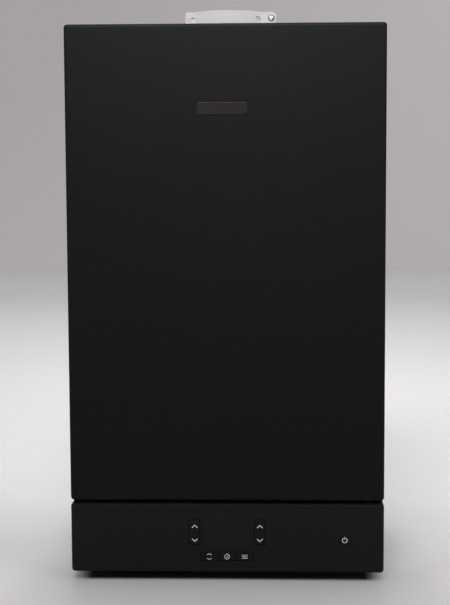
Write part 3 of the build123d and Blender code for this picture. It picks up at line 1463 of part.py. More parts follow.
# Plate heat exchanger: a stack of plates between two end plates, with four ports in front
plate_half = plate_port_x + plate_margin_side
plate_low = plate_port_low - plate_margin_level
plate_high = plate_port_high + plate_margin_level
stack_depth = plate_count * plate_pitch
with BuildPart() as plate_heat_exchanger:
    plate_rear = plate_front + stack_depth
    plate_middle = (plate_low + plate_high) / 2
    with BuildSketch(facing(0, plate_rear, plate_middle)):
        RectangleRounded(2 * plate_half, plate_high - plate_low, plate_corner)
    extrude(amount=stack_depth)
    for plate in range(1, plate_count):
        with BuildSketch(facing(0, plate_front + plate * plate_pitch + plate_groove / 2,
                                plate_middle)):
            RectangleRounded(2 * plate_half + 2 * overrun, plate_high - plate_low + 2 * overrun,
                             plate_corner)
            RectangleRounded(2 * (plate_half - plate_groove_depth),
                             plate_high - plate_low - 2 * plate_groove_depth,
                             plate_corner - plate_groove_depth, mode=Mode.SUBTRACT)
        extrude(amount=plate_groove, mode=Mode.SUBTRACT)
    for port_x in (-plate_port_x, plate_port_x):
        for port_height in (plate_port_low, plate_port_high):
            rod(facing(port_x, plate_front, port_height), group_port_radius, plate_gap)
plate_heat_exchanger.part.label = "plate_heat_exchanger"
export_step(plate_heat_exchanger.part, "parts/plate_heat_exchanger.step")

# Automatic air vent on the pump's neck
with BuildPart() as air_vent:
    rod(deck(pump_offset, vent_depth, vent_base_top), vent_radius, vent_height)
    fillet(air_vent.faces().sort_by(Axis.Z)[-1].edges(), vent_edge)
    rod(deck(pump_offset, vent_depth, vent_base_top + vent_height), vent_cap_radius, vent_cap_height)
air_vent.part.label = "air_vent"
export_step(air_vent.part, "parts/air_vent.step")

# Condensate trap on the flow group's seat, with its outlet below, in front of the seat
hose_start = drain_surface - drain_spigot_reach
hose_end = hose_start - hose_fall
trap_top = hose_end - trap_neck_rise
with BuildPart() as condensate_trap:
    rod(deck(trap_offset, trap_depth, trap_base), trap_radius, trap_top - trap_base)
    fillet(condensate_trap.faces().sort_by(Axis.Z)[-1].edges(), vent_edge)
    rod(deck(trap_offset, trap_depth, trap_base), trap_radius + trap_cup_margin, trap_cup_height)
    rod(deck(trap_offset, trap_depth, trap_top), trap_neck_radius, trap_neck_rise)
    rod(deck(trap_offset, hose_depth, trap_base - trap_outlet_reach), trap_neck_radius,
        trap_outlet_reach + overrun)
condensate_trap.part.label = "condensate_trap"
export_step(condensate_trap.part, "parts/condensate_trap.step")

# Condensate hoses: from the exchanger to the trap, and from the trap down through the tray
with BuildPart() as condensate_hoses:
    pipe(
        [
            spot(drain_spigot_offset, drain_spigot_depth, hose_start),
            spot(drain_spigot_offset, drain_spigot_depth, hose_start - hose_run),
            spot(trap_offset, trap_depth, hose_end + hose_run),
            spot(trap_offset, trap_depth, hose_end),
        ],
        hose_bend,
        hose_radius,
    )
    rod(deck(trap_offset, hose_depth, -stub_reach), hose_radius,
        stub_reach + trap_base - trap_outlet_reach)
    mouth(trap_offset, hose_depth, -stub_reach, hose_radius - stub_wall)
condensate_hoses.part.label = "condensate_hoses"
export_step(condensate_hoses.part, "parts/condensate_hoses.step")

# Knob of the filling tap, below the tray
with BuildPart() as filling_knob:
    ribbed_knob(deck(fill_offset, fill_depth, fill_knob_base), fill_knob_radius,
                fill_knob_top - fill_knob_base, safety_knob_ribs)
    rod(deck(fill_offset, fill_depth, fill_knob_base), fill_stem_radius,
        fill_body_base + fill_stem_bite - fill_knob_base)
filling_knob.part.label = "filling_knob"
export_step(filling_knob.part, "parts/filling_knob.step")

# Cable gland in the tray
with BuildPart() as cable_gland:
    gland_depth = case_depth - gland_from_wall
    gland_low = tray_height - gland_reach
    rod(deck(gland_offset, gland_depth, gland_low), gland_radius,
        gland_reach + tray_sheet + gland_nut_height)
    hexagon(deck(gland_offset, gland_depth, tray_top), gland_nut, gland_nut_height)
    hexagon(deck(gland_offset, gland_depth, tray_height - gland_nut_height), gland_nut,
            gland_nut_height)
    rod(deck(gland_offset, gland_depth, gland_low - overrun), gland_bore,
        gland_reach + tray_sheet + gland_nut_height + 2 * overrun, mode=Mode.SUBTRACT)
cable_gland.part.label = "cable_gland"
export_step(cable_gland.part, "parts/cable_gland.step")
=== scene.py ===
"""Wall-mounted gas boiler: its finishes and fine pieces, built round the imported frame."""

import logging
import math
from dataclasses import dataclass
from enum import Enum

import bmesh
import bpy
import numpy as np
from mathutils import Matrix, Vector


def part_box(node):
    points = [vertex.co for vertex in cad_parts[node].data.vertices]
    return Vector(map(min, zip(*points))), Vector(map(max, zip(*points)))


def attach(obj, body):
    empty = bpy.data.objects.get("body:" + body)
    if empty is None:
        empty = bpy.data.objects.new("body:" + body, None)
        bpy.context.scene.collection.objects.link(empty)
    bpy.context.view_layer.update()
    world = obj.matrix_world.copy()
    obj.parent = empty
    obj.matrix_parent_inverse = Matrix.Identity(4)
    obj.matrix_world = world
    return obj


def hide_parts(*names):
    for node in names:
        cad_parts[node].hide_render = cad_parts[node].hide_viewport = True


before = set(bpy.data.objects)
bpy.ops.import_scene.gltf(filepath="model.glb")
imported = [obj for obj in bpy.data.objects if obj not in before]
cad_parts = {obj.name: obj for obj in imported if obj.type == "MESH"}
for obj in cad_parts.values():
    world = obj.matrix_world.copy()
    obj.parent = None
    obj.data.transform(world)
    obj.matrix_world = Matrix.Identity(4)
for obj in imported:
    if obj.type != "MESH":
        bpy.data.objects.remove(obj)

logging.basicConfig(level=logging.INFO, format="%(message)s")
LOG = logging.getLogger("boiler")
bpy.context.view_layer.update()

MM = 0.001
CASE_DEPTH = 290.0
BOLT_HEIGHT = 655.0
Triple = tuple[float, float, float]
Colour = Triple
# Pairs of numbers: a profile's radii and places, a line's corners or a ramp's stops
Pairs = tuple[tuple[float, float], ...]
# How far a screw head is sunk into the face under it, in millimetres
SINK = 0.1


def spot(x: float, depth: float, height: float) -> np.ndarray:
    """Gives the place, in metres, of a depth behind the front and a height above the bottom edge.

    Args:
        x: Millimetres to the right of the middle.
        depth: Millimetres behind the front plane.
        height: Millimetres above the casing's bottom edge.

    Returns:
        The point in the shared frame.
    """
    return np.array([x, depth - CASE_DEPTH, height - BOLT_HEIGHT]) * MM


@dataclass(frozen=True)
class Place:
    """Box of a CAD node at rest, in millimetres behind the front and above the bottom edge."""

    low: np.ndarray
    high: np.ndarray

    @classmethod
    def of(cls, node: str) -> "Place":
        """Reads a node's box from the frame."""
        shift = np.array([0.0, CASE_DEPTH, BOLT_HEIGHT])
        return cls(*(np.array(corner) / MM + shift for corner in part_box(node)))

    @property
    def middle(self) -> np.ndarray:
        """Middle of the box."""
        return (self.low + self.high) / 2

    @property
    def size(self) -> np.ndarray:
        """Width, depth and height of the box."""
        return self.high - self.low


def circle(steps: int) -> np.ndarray:
    """Gives the angles of evenly spaced points on a circle."""
    return np.linspace(0.0, 2 * math.pi, steps, endpoint=False)


class Way(Enum):
    """Directions that pieces and patterns can run in."""

    ACROSS = (1.0, 0.0, 0.0)
    FORWARD = (0.0, -1.0, 0.0)
    BACKWARD = (0.0, 1.0, 0.0)
    UP = (0.0, 0.0, 1.0)
    DOWN = (0.0, 0.0, -1.0)
    LEFTWARD = (-1.0, 0.0, 0.0)

    def axes(self) -> tuple[np.ndarray, np.ndarray, np.ndarray]:
        """Gives the two directions across this one and the direction itself."""
        along = np.array(self.value)
        start = np.array([0.0, 0.0, 1.0]) if abs(along[2]) < 0.5 else np.array([1.0, 0.0, 0.0])
        second = np.cross(along, start)
        return np.cross(second, along), second, along

    def carry(self, x: np.ndarray, y: np.ndarray, rise: np.ndarray) -> np.ndarray:
        """Places points about the origin: x first + y second + rise along.

        Args:
            x: Distances in the first direction across, in millimetres.
            y: Distances in the second direction across.
            rise: Distances along this way.

        Returns:
            The points, in metres.
        """
        first, second, along = self.axes()
        return MM * (x[..., None] * first + y[..., None] * second + rise[..., None] * along)

    def rings(self, radius: np.ndarray, rise: np.ndarray, steps: int) -> np.ndarray:
        """Carries radii round this way: x, y = radius x (cos, sin) of the turn.

        Args:
            radius: Radii in millimetres, a row for each ring.
            rise: Distance of each ring along this way.
            steps: Points in a ring.

        Returns:
            Net of rings about the origin, in metres.
        """
        turn = circle(steps)
        return self.carry(radius * np.cos(turn), radius * np.sin(turn), rise)


class Recess(Enum):
    """Shapes that a driver fits in a screw head."""

    CROSS = "cross"
    SLOT = "slot"


# Shader kit


class Signal:
    """Output of a shader node; Python's operators on it add Math nodes."""

    def __init__(self, bench: "Bench", socket: bpy.types.NodeSocket) -> None:
        """Keeps the bench that the node is on and its output socket."""
        self.bench = bench
        self.socket = socket

    def _math(self, operation: str, first: "Value", second: "Value") -> "Signal":
        """Adds one Math node for two values."""
        return self.bench.add("ShaderNodeMath", {"operation": operation}, {0: first, 1: second})

    def __add__(self, other: "Value") -> "Signal":
        """Adds a value."""
        return self._math("ADD", self, other)

    def __sub__(self, other: "Value") -> "Signal":
        """Takes a value away."""
        return self._math("SUBTRACT", self, other)

    def __rsub__(self, other: "Value") -> "Signal":
        """Is taken away from a value."""
        return self._math("SUBTRACT", other, self)

    def __mul__(self, other: "Value") -> "Signal":
        """Multiplies by a value."""
        return self._math("MULTIPLY", self, other)

    def __gt__(self, other: "Value") -> "Signal":
        """Is 1 where it is more than a value."""
        return self._math("GREATER_THAN", self, other)

    def __lt__(self, other: "Value") -> "Signal":
        """Is 1 where it is less than a value."""
        return self._math("LESS_THAN", self, other)

    def fraction(self) -> "Signal":
        """Keeps what is after the point."""
        return self._math("FRACT", self, 0.0)

    def size(self) -> "Signal":
        """Drops the sign."""
        return self._math("ABSOLUTE", self, 0.0)

    def higher(self, other: "Value") -> "Signal":
        """Takes the larger of two values."""
        return self._math("MAXIMUM", self, other)

    def fall(self, reach: float) -> "Signal":
        """Is 1 up to zero, and falls to 0 over a reach beyond it."""
        return (1.0 - self.higher(0.0) * (1.0 / reach)).higher(0.0)

    def part(self, name: str) -> "Signal":
        """Gives another output of the same node by its name."""
        return Signal(self.bench, self.socket.node.outputs[name])


Value = Signal | float


def blend(*parts: tuple[Signal, float]) -> Signal:
    """Adds signals up, each times its share."""
    total, *others = (signal * share for signal, share in parts)
    for other in others:
        total = total + other
    return total


class Bench:
    """Node tree of one finish, with a single way of adding a node."""

    # Sockets of the Mix node while it mixes colours
    MIX_SHARE, MIX_FIRST, MIX_SECOND, MIX_RESULT = 0, 6, 7, 2

    def __init__(self, name: str) -> None:
        """Starts an empty tree."""
        self.material = bpy.data.materials.new(name)
        self.material.use_nodes = True
        self.tree = self.material.node_tree
        self.tree.nodes.clear()

    def add(self, kind: str, settings: dict | None = None, inputs: dict | None = None,
            output: int | str = 0) -> Signal:
        """Adds a node, sets it and joins it.

        Args:
            kind: The node's type.
            settings: What is set on the node first.
            inputs: Values or signals by socket name or number.
            output: The output that is wanted.

        Returns:
            The chosen output.
        """
        node = self.tree.nodes.new(kind)
        for key, value in (settings or {}).items():
            setattr(node, key, value)
        for key, value in (inputs or {}).items():
            if isinstance(value, Signal):
                self.tree.links.new(value.socket, node.inputs[key])
            else:
                node.inputs[key].default_value = value
        return Signal(self, node.outputs[output])

    def ramp(self, share: Signal, stops: list[tuple[float, Colour]]) -> Signal:
        """Turns a share into a colour by two or more stops."""
        signal = self.add("ShaderNodeValToRGB", None, {0: share})
        elements = signal.socket.node.color_ramp.elements
        for position, _ in stops[2:]:
            elements.new(position)
        for element, (position, colour) in zip(elements, stops):
            element.position = position
            element.color = (*colour, 1.0)
        return signal

    def place(self, stretch: Triple = (1.0, 1.0, 1.0)) -> Signal:
        """Gives the object coordinates, stretched along each axis."""
        where = self.add("ShaderNodeTexCoord", output="Object")
        return self.add("ShaderNodeMapping", None, {"Vector": where, "Scale": stretch})

    def along(self, axis: str) -> Signal:
        """Gives one object coordinate, X, Y or Z, in metres."""
        where = self.add("ShaderNodeTexCoord", output="Object")
        return self.add("ShaderNodeSeparateXYZ", None, {0: where}, axis)

    def noise(self, where: Signal, scale: float, detail: float = 3.0, rough: float = 0.5) -> Signal:
        """Gives a noise of a number of cells to the metre."""
        return self.add("ShaderNodeTexNoise", None,
                        {"Vector": where, "Scale": scale, "Detail": detail, "Roughness": rough})

    def cells(self, where: Signal, scale: float, output: str = "Distance") -> Signal:
        """Gives a cell pattern of a number of cells to the metre."""
        return self.add("ShaderNodeTexVoronoi", None, {"Vector": where, "Scale": scale}, output)

    def mix(self, share: Value, first: Signal | Colour, second: Signal | Colour) -> Signal:
        """Mixes two colours."""
        low, high = ((*c, 1.0) if isinstance(c, tuple) else c for c in (first, second))
        return self.add("ShaderNodeMix", {"data_type": "RGBA"},
                        {self.MIX_SHARE: share, self.MIX_FIRST: low, self.MIX_SECOND: high},
                        self.MIX_RESULT)

    def shade(self, colour: Colour, share: Signal, spread: float) -> Signal:
        """Varies a colour about itself.

        Args:
            colour: The middle colour.
            share: Where it is darker, at 0, and lighter, at 1.
            spread: How far it goes each way, as a share of the colour.

        Returns:
            The varied colour.
        """
        dark = tuple(c * (1 - spread) for c in colour)
        light = tuple(min(1.0, c * (1 + spread)) for c in colour)
        return self.mix(share, dark, light)

    def emboss(self, height: Signal, depth: float, strength: float) -> Signal:
        """Turns a height into a bump of a depth in metres."""
        return self.add("ShaderNodeBump", None,
                        {"Height": height, "Distance": depth, "Strength": strength})

    def end(self, surface: Signal) -> bpy.types.Material:
        """Joins the surface to the material's output."""
        output = self.tree.nodes.new("ShaderNodeOutputMaterial")
        self.tree.links.new(surface.socket, output.inputs["Surface"])
        return self.material

    def close(self, **sockets: Value) -> bpy.types.Material:
        """Ends the tree with a principled surface.

        Args:
            **sockets: Values or signals by socket name, with underscores for spaces.

        Returns:
            The finished material.
        """
        named = {key.replace("_", " "): value for key, value in sockets.items()}
        return self.end(self.add("ShaderNodeBsdfPrincipled", None, named))


# Finishes


@dataclass(frozen=True)
class Finish:
    """One surface finish; its material is made when it is first asked for."""

    name: str
    colour: Colour
    roughness: float = 0.5

    def material(self) -> bpy.types.Material:
        """Gives the finish's material."""
        title = f"{self.name}_finish"
        return bpy.data.materials.get(title) or self.build(Bench(title))

    def build(self, bench: Bench) -> bpy.types.Material:
        """Builds the material on a bench."""
        raise NotImplementedError

    def rough(self, *parts: tuple[Signal, float]) -> Signal:
        """Varies the roughness about its middle by signals, each with its whole swing."""
        swing = sum(share for _, share in parts)
        return blend(*parts) + (self.roughness - swing / 2)


@dataclass(frozen=True)
class PowderCoat(Finish):
    """Baked powder paint: fine orange peel, a faint drift of tone and a little dust."""

    level: float = 0.3
    peel: float = 900.0
    depth: float = 0.00003
    coat: float = 0.0

    def build(self, bench: Bench) -> bpy.types.Material:
        """Adds peel as bump, and drift to colour and roughness."""
        where = bench.place()
        drift = bench.noise(where, scale=7.0, detail=2.0)
        fine = bench.noise(where, self.peel, detail=2.0, rough=0.55)
        specks = bench.noise(where, scale=2600.0, detail=1.0)
        return bench.close(
            Base_Color=bench.shade(self.colour, blend((drift, 0.6), (specks, 0.4)), spread=0.16),
            Roughness=self.rough((drift, 0.08), (specks, 0.06)), Specular_IOR_Level=self.level,
            Coat_Weight=self.coat, Coat_Roughness=0.12,
            Normal=bench.emboss(fine, self.depth, strength=0.6))


@dataclass(frozen=True)
class Moulding(Finish):
    """Moulded plastic: a spark-eroded grain, with slight flow marks."""

    level: float = 0.35
    grain: float = 1900.0
    depth: float = 0.00002

    def build(self, bench: Bench) -> bpy.types.Material:
        """Adds grain as bump, and flow marks to colour and roughness."""
        flow = bench.noise(bench.place((1.0, 1.0, 4.0)), scale=9.0, detail=2.0)
        grain = bench.noise(bench.place(), self.grain, rough=0.6)
        return bench.close(
            Base_Color=bench.shade(self.colour, blend((flow, 0.5), (grain, 0.5)), spread=0.14),
            Roughness=self.rough((grain, 0.12), (flow, 0.05)), Specular_IOR_Level=self.level,
            Normal=bench.emboss(grain, self.depth, strength=0.7))


@dataclass(frozen=True)
class BrushedMetal(Finish):
    """Metal with fine lines that run along one direction, or level all round."""

    lines: Way = Way.ACROSS
    fineness: float = 2400.0
    depth: float = 0.00002
    spread: float = 0.14
    pull: float = 0.0
    level_lines: bool = False

    def build(self, bench: Bench) -> bpy.types.Material:
        """Stretches a noise along the lines, for tone, roughness and bump."""
        long, short = 0.012, 1.0
        stretch = (long, long, short) if self.level_lines else tuple(
            long if abs(part) > 0.5 else short for part in self.lines.value)
        lines = bench.noise(bench.place(stretch), self.fineness, detail=2.0, rough=0.6)
        broad = bench.noise(bench.place(), scale=30.0)
        return bench.close(
            Base_Color=bench.shade(self.colour, blend((lines, 0.75), (broad, 0.25)), self.spread),
            Metallic=1.0, Roughness=self.rough((lines, 0.14), (broad, 0.08)),
            Anisotropic=self.pull, Normal=bench.emboss(lines, self.depth, strength=0.5))


@dataclass(frozen=True)
class Galvanised(Finish):
    """Zinc-coated sheet with its spangle of flat crystals."""

    spangle: float = 120.0

    def build(self, bench: Bench) -> bpy.types.Material:
        """Gives each crystal a tone and a gloss of its own, under a thin haze."""
        where = bench.place()
        crystal = bench.add("ShaderNodeSeparateXYZ", None,
                            {0: bench.cells(where, self.spangle, "Color")}, "X")
        haze = bench.noise(where, scale=14.0, detail=4.0, rough=0.6)
        ridges = bench.noise(where, scale=700.0, detail=2.0)
        return bench.close(
            Base_Color=bench.shade(self.colour, blend((crystal, 0.55), (haze, 0.45)), spread=0.13),
            Metallic=0.92, Roughness=self.rough((crystal, 0.16), (haze, 0.12)),
            Normal=bench.emboss(ridges, depth=0.00002, strength=0.35))


@dataclass(frozen=True)
class CastMetal(Finish):
    """Die-cast or sand-cast metal: pitted skin with darker hollows."""

    metal: float = 0.9
    pits: float = 420.0

    def build(self, bench: Bench) -> bpy.types.Material:
        """Adds pits as bump, darkens them and dulls the skin."""
        where = bench.place()
        pits = bench.noise(where, self.pits, detail=4.0, rough=0.65)
        broad = bench.noise(where, scale=24.0)
        return bench.close(
            Base_Color=bench.shade(self.colour, blend((pits, 0.6), (broad, 0.4)), spread=0.2),
            Metallic=self.metal, Roughness=self.rough((pits, 0.16), (broad, 0.08)),
            Normal=bench.emboss(pits, depth=0.00012, strength=0.45))


@dataclass(frozen=True)
class DrawnCopper(Finish):
    """Drawn copper tube, bright with duller and browner patches."""

    def build(self, bench: Bench) -> bpy.types.Material:
        """Mixes bright metal and brown oxide by a cloudy pattern."""
        cloud = bench.noise(bench.place(), scale=26.0, detail=5.0, rough=0.62)
        lines = bench.noise(bench.place((1.0, 1.0, 0.02)), scale=1500.0, detail=2.0)
        oxide = bench.ramp(cloud, [(0.38, (0, 0, 0)), (0.72, (1, 1, 1))])
        dull = tuple(c * 0.42 for c in self.colour)
        bright = bench.shade(self.colour, lines, spread=0.1)
        return bench.close(
            Base_Color=bench.mix(oxide * 0.7, bright, dull), Metallic=1.0,
            Roughness=self.rough((cloud, 0.3), (lines, 0.06)),
            Normal=bench.emboss(lines, depth=0.00002, strength=0.3))


@dataclass(frozen=True)
class Elastomer(Finish):
    """Rubber or silicone with a dull bloom."""

    def build(self, bench: Bench) -> bpy.types.Material:
        """Adds a paler bloom and a fine grain."""
        where = bench.place()
        bloom = bench.noise(where, scale=60.0, detail=4.0, rough=0.6)
        grain = bench.noise(where, scale=1500.0, detail=2.0)
        return bench.close(
            Base_Color=bench.shade(self.colour, blend((bloom, 0.7), (grain, 0.3)), spread=0.3),
            Roughness=self.rough((grain, 0.1)), Specular_IOR_Level=0.3,
            Normal=bench.emboss(grain, depth=0.00003, strength=0.6))


@dataclass(frozen=True)
class SmokedWindow(Finish):
    """Polished dark window, with the display's dot grid just showing through."""

    dots: float = 620.0
    dot_gap: float = 0.16

    def build(self, bench: Bench) -> bpy.types.Material:
        """Draws a faint grid of dots and a few wiping marks in the polish."""
        grid = [(bench.along(axis) * self.dots).fraction() > self.dot_gap for axis in ("X", "Z")]
        haze = bench.noise(bench.place(), scale=45.0)
        return bench.close(Base_Color=bench.shade(self.colour, grid[0] * grid[1], spread=0.12),
                           Roughness=self.rough((haze, 0.05)), Specular_IOR_Level=0.14)


@dataclass(frozen=True)
class BoardLaminate(Finish):
    """Circuit board lacquer over its copper tracks, with solder pads on it."""

    track_width: float = 0.24
    pad_width: float = 0.13
    solder: Colour = (0.62, 0.6, 0.55)

    def build(self, bench: Bench) -> bpy.types.Material:
        """Draws tracks and pads as the inside of cells, raised a little."""
        where = bench.place((1.0, 0.01, 1.0))
        tracks = bench.cells(bench.place((1.0, 0.01, 0.35)), scale=260.0) < self.track_width
        pads = bench.cells(where, scale=190.0) < self.pad_width
        green = bench.shade(self.colour, bench.noise(where, scale=40.0), spread=0.18)
        light = tuple(min(1.0, c * 1.9) for c in self.colour)
        return bench.close(
            Base_Color=bench.mix(pads, bench.mix(tracks * 0.6, green, light), self.solder),
            Roughness=self.roughness, Metallic=pads * 0.8,
            Normal=bench.emboss(tracks + pads, depth=0.00004, strength=0.5))


@dataclass(frozen=True)
class Glaze(Finish):
    """Glazed ceramic with tiny iron specks."""

    speck_size: float = 0.12
    iron: Colour = (0.3, 0.24, 0.18)

    def build(self, bench: Bench) -> bpy.types.Material:
        """Adds specks and a slight cloud under a clear coat."""
        where = bench.place()
        specks = bench.cells(where, scale=1100.0) < self.speck_size
        cloud = bench.shade(self.colour, bench.noise(where, scale=90.0), spread=0.06)
        return bench.close(Base_Color=bench.mix(specks * 0.5, cloud, self.iron),
                           Roughness=self.roughness, Coat_Weight=0.5, Coat_Roughness=0.08)


@dataclass(frozen=True)
class Ink(Finish):
    """Pad-printed ink with a slightly uneven film."""

    def build(self, bench: Bench) -> bpy.types.Material:
        """Varies the film's tone a little."""
        film = bench.noise(bench.place(), scale=2200.0, detail=2.0)
        return bench.close(Base_Color=bench.shade(self.colour, film, spread=0.08),
                           Roughness=self.rough((film, 0.1)), Specular_IOR_Level=0.3)


@dataclass(frozen=True)
class StudioFloor(Finish):
    """Pale studio floor with painted light and shade: its tone drifts with the distance from the
    camera.
    """

    stops: Pairs = ((0.0, 0.6), (1.0, 0.6))
    nearest: float = -3.0
    farthest: float = 5.0
    # Painted contact shadow under the boiler: its half width, middle, half depth, soft edge and
    # tone
    under_half: float = 0.196
    under_middle: float = -0.145
    under_depth: float = 0.142
    under_soft: float = 0.012
    contact_shadow_tone: float = 0.06
    # Painted shadow round the boiler's front: the front line, its reach ahead, how far behind the
    # front it fades in, its reach to the sides and how much it darkens
    front: float = -0.29
    near_reach: float = 0.3
    near_start: float = 0.12
    side_reach: float = 0.1
    front_shadow_loss: float = 0.26

    def build(self, bench: Bench) -> bpy.types.Material:
        """Reads the painted light from a ramp along Y, and paints shadow on the patch under and
        round the boiler.
        """
        span = self.farthest - self.nearest
        share = (bench.along("Y") - self.nearest) * (1.0 / span)
        stops = [((y - self.nearest) / span, tuple(c * tone for c in self.colour))
                 for y, tone in self.stops]
        # Painted light and shade: the floor's tone by its distance from the camera
        ramp = bench.ramp(share, stops)
        side = bench.along("X").size() - self.under_half
        deep = (bench.along("Y") - self.under_middle).size() - self.under_depth
        soft = self.under_soft
        # Painted contact shadow: the floor under the boiler is dark, with soft edges
        under = (side + soft).fall(soft) * (deep + soft).fall(soft)
        # Painted shadow: the floor darkens towards the boiler's front, fading out ahead and to the
        # sides
        ahead = self.front - bench.along("Y")
        fade = ahead.fall(self.near_reach)
        start = (0.0 - ahead).fall(self.near_start)
        near = start * start * fade * fade * side.fall(self.side_reach)
        shaded = bench.mix(near * self.front_shadow_loss, ramp, (0.0, 0.0, 0.0))
        tone = bench.mix(under, shaded, (self.contact_shadow_tone,) * 3)
        return bench.close(Base_Color=tone, Roughness=self.roughness, Specular_IOR_Level=0.0)


@dataclass(frozen=True)
class StudioSweep(Finish):
    """Backdrop that shows its own tone, with painted light that makes it lighter to the right, to
    the camera and in metal.
    """

    light_lean: float = 0.33
    light_lean_rise: float = 0.32

    def build(self, bench: Bench) -> bpy.types.Material:
        """Glows for camera, glossy and transmission rays, and is plain paper for the rest."""
        rays = bench.add("ShaderNodeLightPath", output="Is Camera Ray")
        seen = rays.higher(rays.part("Is Glossy Ray")).higher(rays.part("Is Transmission Ray"))
        # Painted light: the backdrop grows lighter to the right, and more so the higher it is
        light_lean = bench.along("X") * (bench.along("Z") * self.light_lean_rise + self.light_lean) + 0.5
        tone = bench.shade(self.colour, light_lean, spread=0.1)
        glow = bench.add("ShaderNodeEmission", None, {"Color": tone})
        paper = bench.add("ShaderNodeBsdfDiffuse", None, {"Color": tone})
        return bench.end(bench.add("ShaderNodeMixShader", None, {0: seen, 1: paper, 2: glow}))


class Finishes:
    """Every finish of the boiler by its part."""

    cover_paint = PowderCoat("cover_paint", (0.0050, 0.0054, 0.0056), 0.55, level=0.1)
    fascia_plastic = Moulding("fascia_plastic", (0.0084, 0.0096, 0.0089), 0.55, level=0.1)
    key_plastic = Moulding("key_plastic", (0.0072, 0.0082, 0.0077), 0.5, level=0.1)
    window = SmokedWindow("smoked_window", (0.0068, 0.0074, 0.0072), 0.3)
    legend_ink = Ink("legend_ink", (0.66, 0.67, 0.66), 0.55)
    badge_metal = BrushedMetal("badge_metal", (0.031, 0.0255, 0.0265), 0.42, Way.ACROSS)
    clamp_metal = BrushedMetal("clamp_metal", (0.98, 0.95, 0.97), 0.38, fineness=520.0, spread=0.07,
                               pull=0.9, level_lines=True)
    # Dark steel; on the tongue's tip and the washer its dark tone is also painted shade, for the
    # left ear's slot and the gap round the screw head
    dark_steel_and_shade = BrushedMetal("dark_steel_and_shade", (0.13, 0.12, 0.12), 0.5, Way.ACROSS, 2000.0)
    clamp_steel = BrushedMetal("clamp_steel", (0.6, 0.58, 0.6), 0.5, Way.ACROSS, 2000.0)
    galvanised = Galvanised("galvanised", (0.56, 0.57, 0.58), 0.42)
    collar_zinc = Galvanised("collar_zinc", (0.42, 0.42, 0.42), 0.45, 260.0)
    stainless = BrushedMetal("stainless", (0.52, 0.52, 0.51), 0.34, Way.ACROSS)
    stainless_round = BrushedMetal("stainless_round", (0.5, 0.5, 0.49), 0.32, Way.UP)
    flue_tube = Moulding("flue_tube", (0.36, 0.37, 0.37), 0.42)
    zinc_screw = BrushedMetal("zinc_screw", (0.6, 0.59, 0.55), 0.3, Way.ACROSS, 3000.0)
    cast_aluminium = CastMetal("cast_aluminium", (0.5, 0.5, 0.5), 0.45)
    dark_moulding = Moulding("dark_moulding", (0.028, 0.029, 0.031), 0.48)
    box_moulding = Moulding("box_moulding", (0.045, 0.046, 0.05), 0.5)
    group_moulding = Moulding("group_moulding", (0.036, 0.037, 0.04), 0.46)
    grey_moulding = Moulding("grey_moulding", (0.32, 0.33, 0.34), 0.45)
    pale_moulding = Moulding("pale_moulding", (0.62, 0.62, 0.6), 0.4)
    pump_paint = PowderCoat("pump_paint", (0.05, 0.052, 0.056), 0.42, level=0.5, peel=500.0)
    vessel_paint = PowderCoat("vessel_paint", (0.32, 0.02, 0.016), 0.3, level=0.5, peel=380.0,
                              coat=0.35)
    gas_paint = PowderCoat("gas_paint", (0.62, 0.42, 0.03), 0.36, level=0.5, peel=420.0)
    copper = DrawnCopper("copper", (0.78, 0.4, 0.25), 0.34)
    brass = BrushedMetal("brass", (0.72, 0.52, 0.23), 0.3, Way.UP, 1800.0)
    red_plastic = Moulding("red_plastic", (0.5, 0.025, 0.02), 0.35)
    blue_plastic = Moulding("blue_plastic", (0.02, 0.08, 0.34), 0.35)
    board = BoardLaminate("board_green", (0.02, 0.14, 0.06), 0.4)
    ceramic = Glaze("ceramic", (0.78, 0.74, 0.66), 0.25)
    seal_rubber = Elastomer("seal_rubber", (0.02, 0.02, 0.021), 0.72)
    lead_silicone = Elastomer("lead_silicone", (0.34, 0.03, 0.02), 0.5)


# Mesh kit


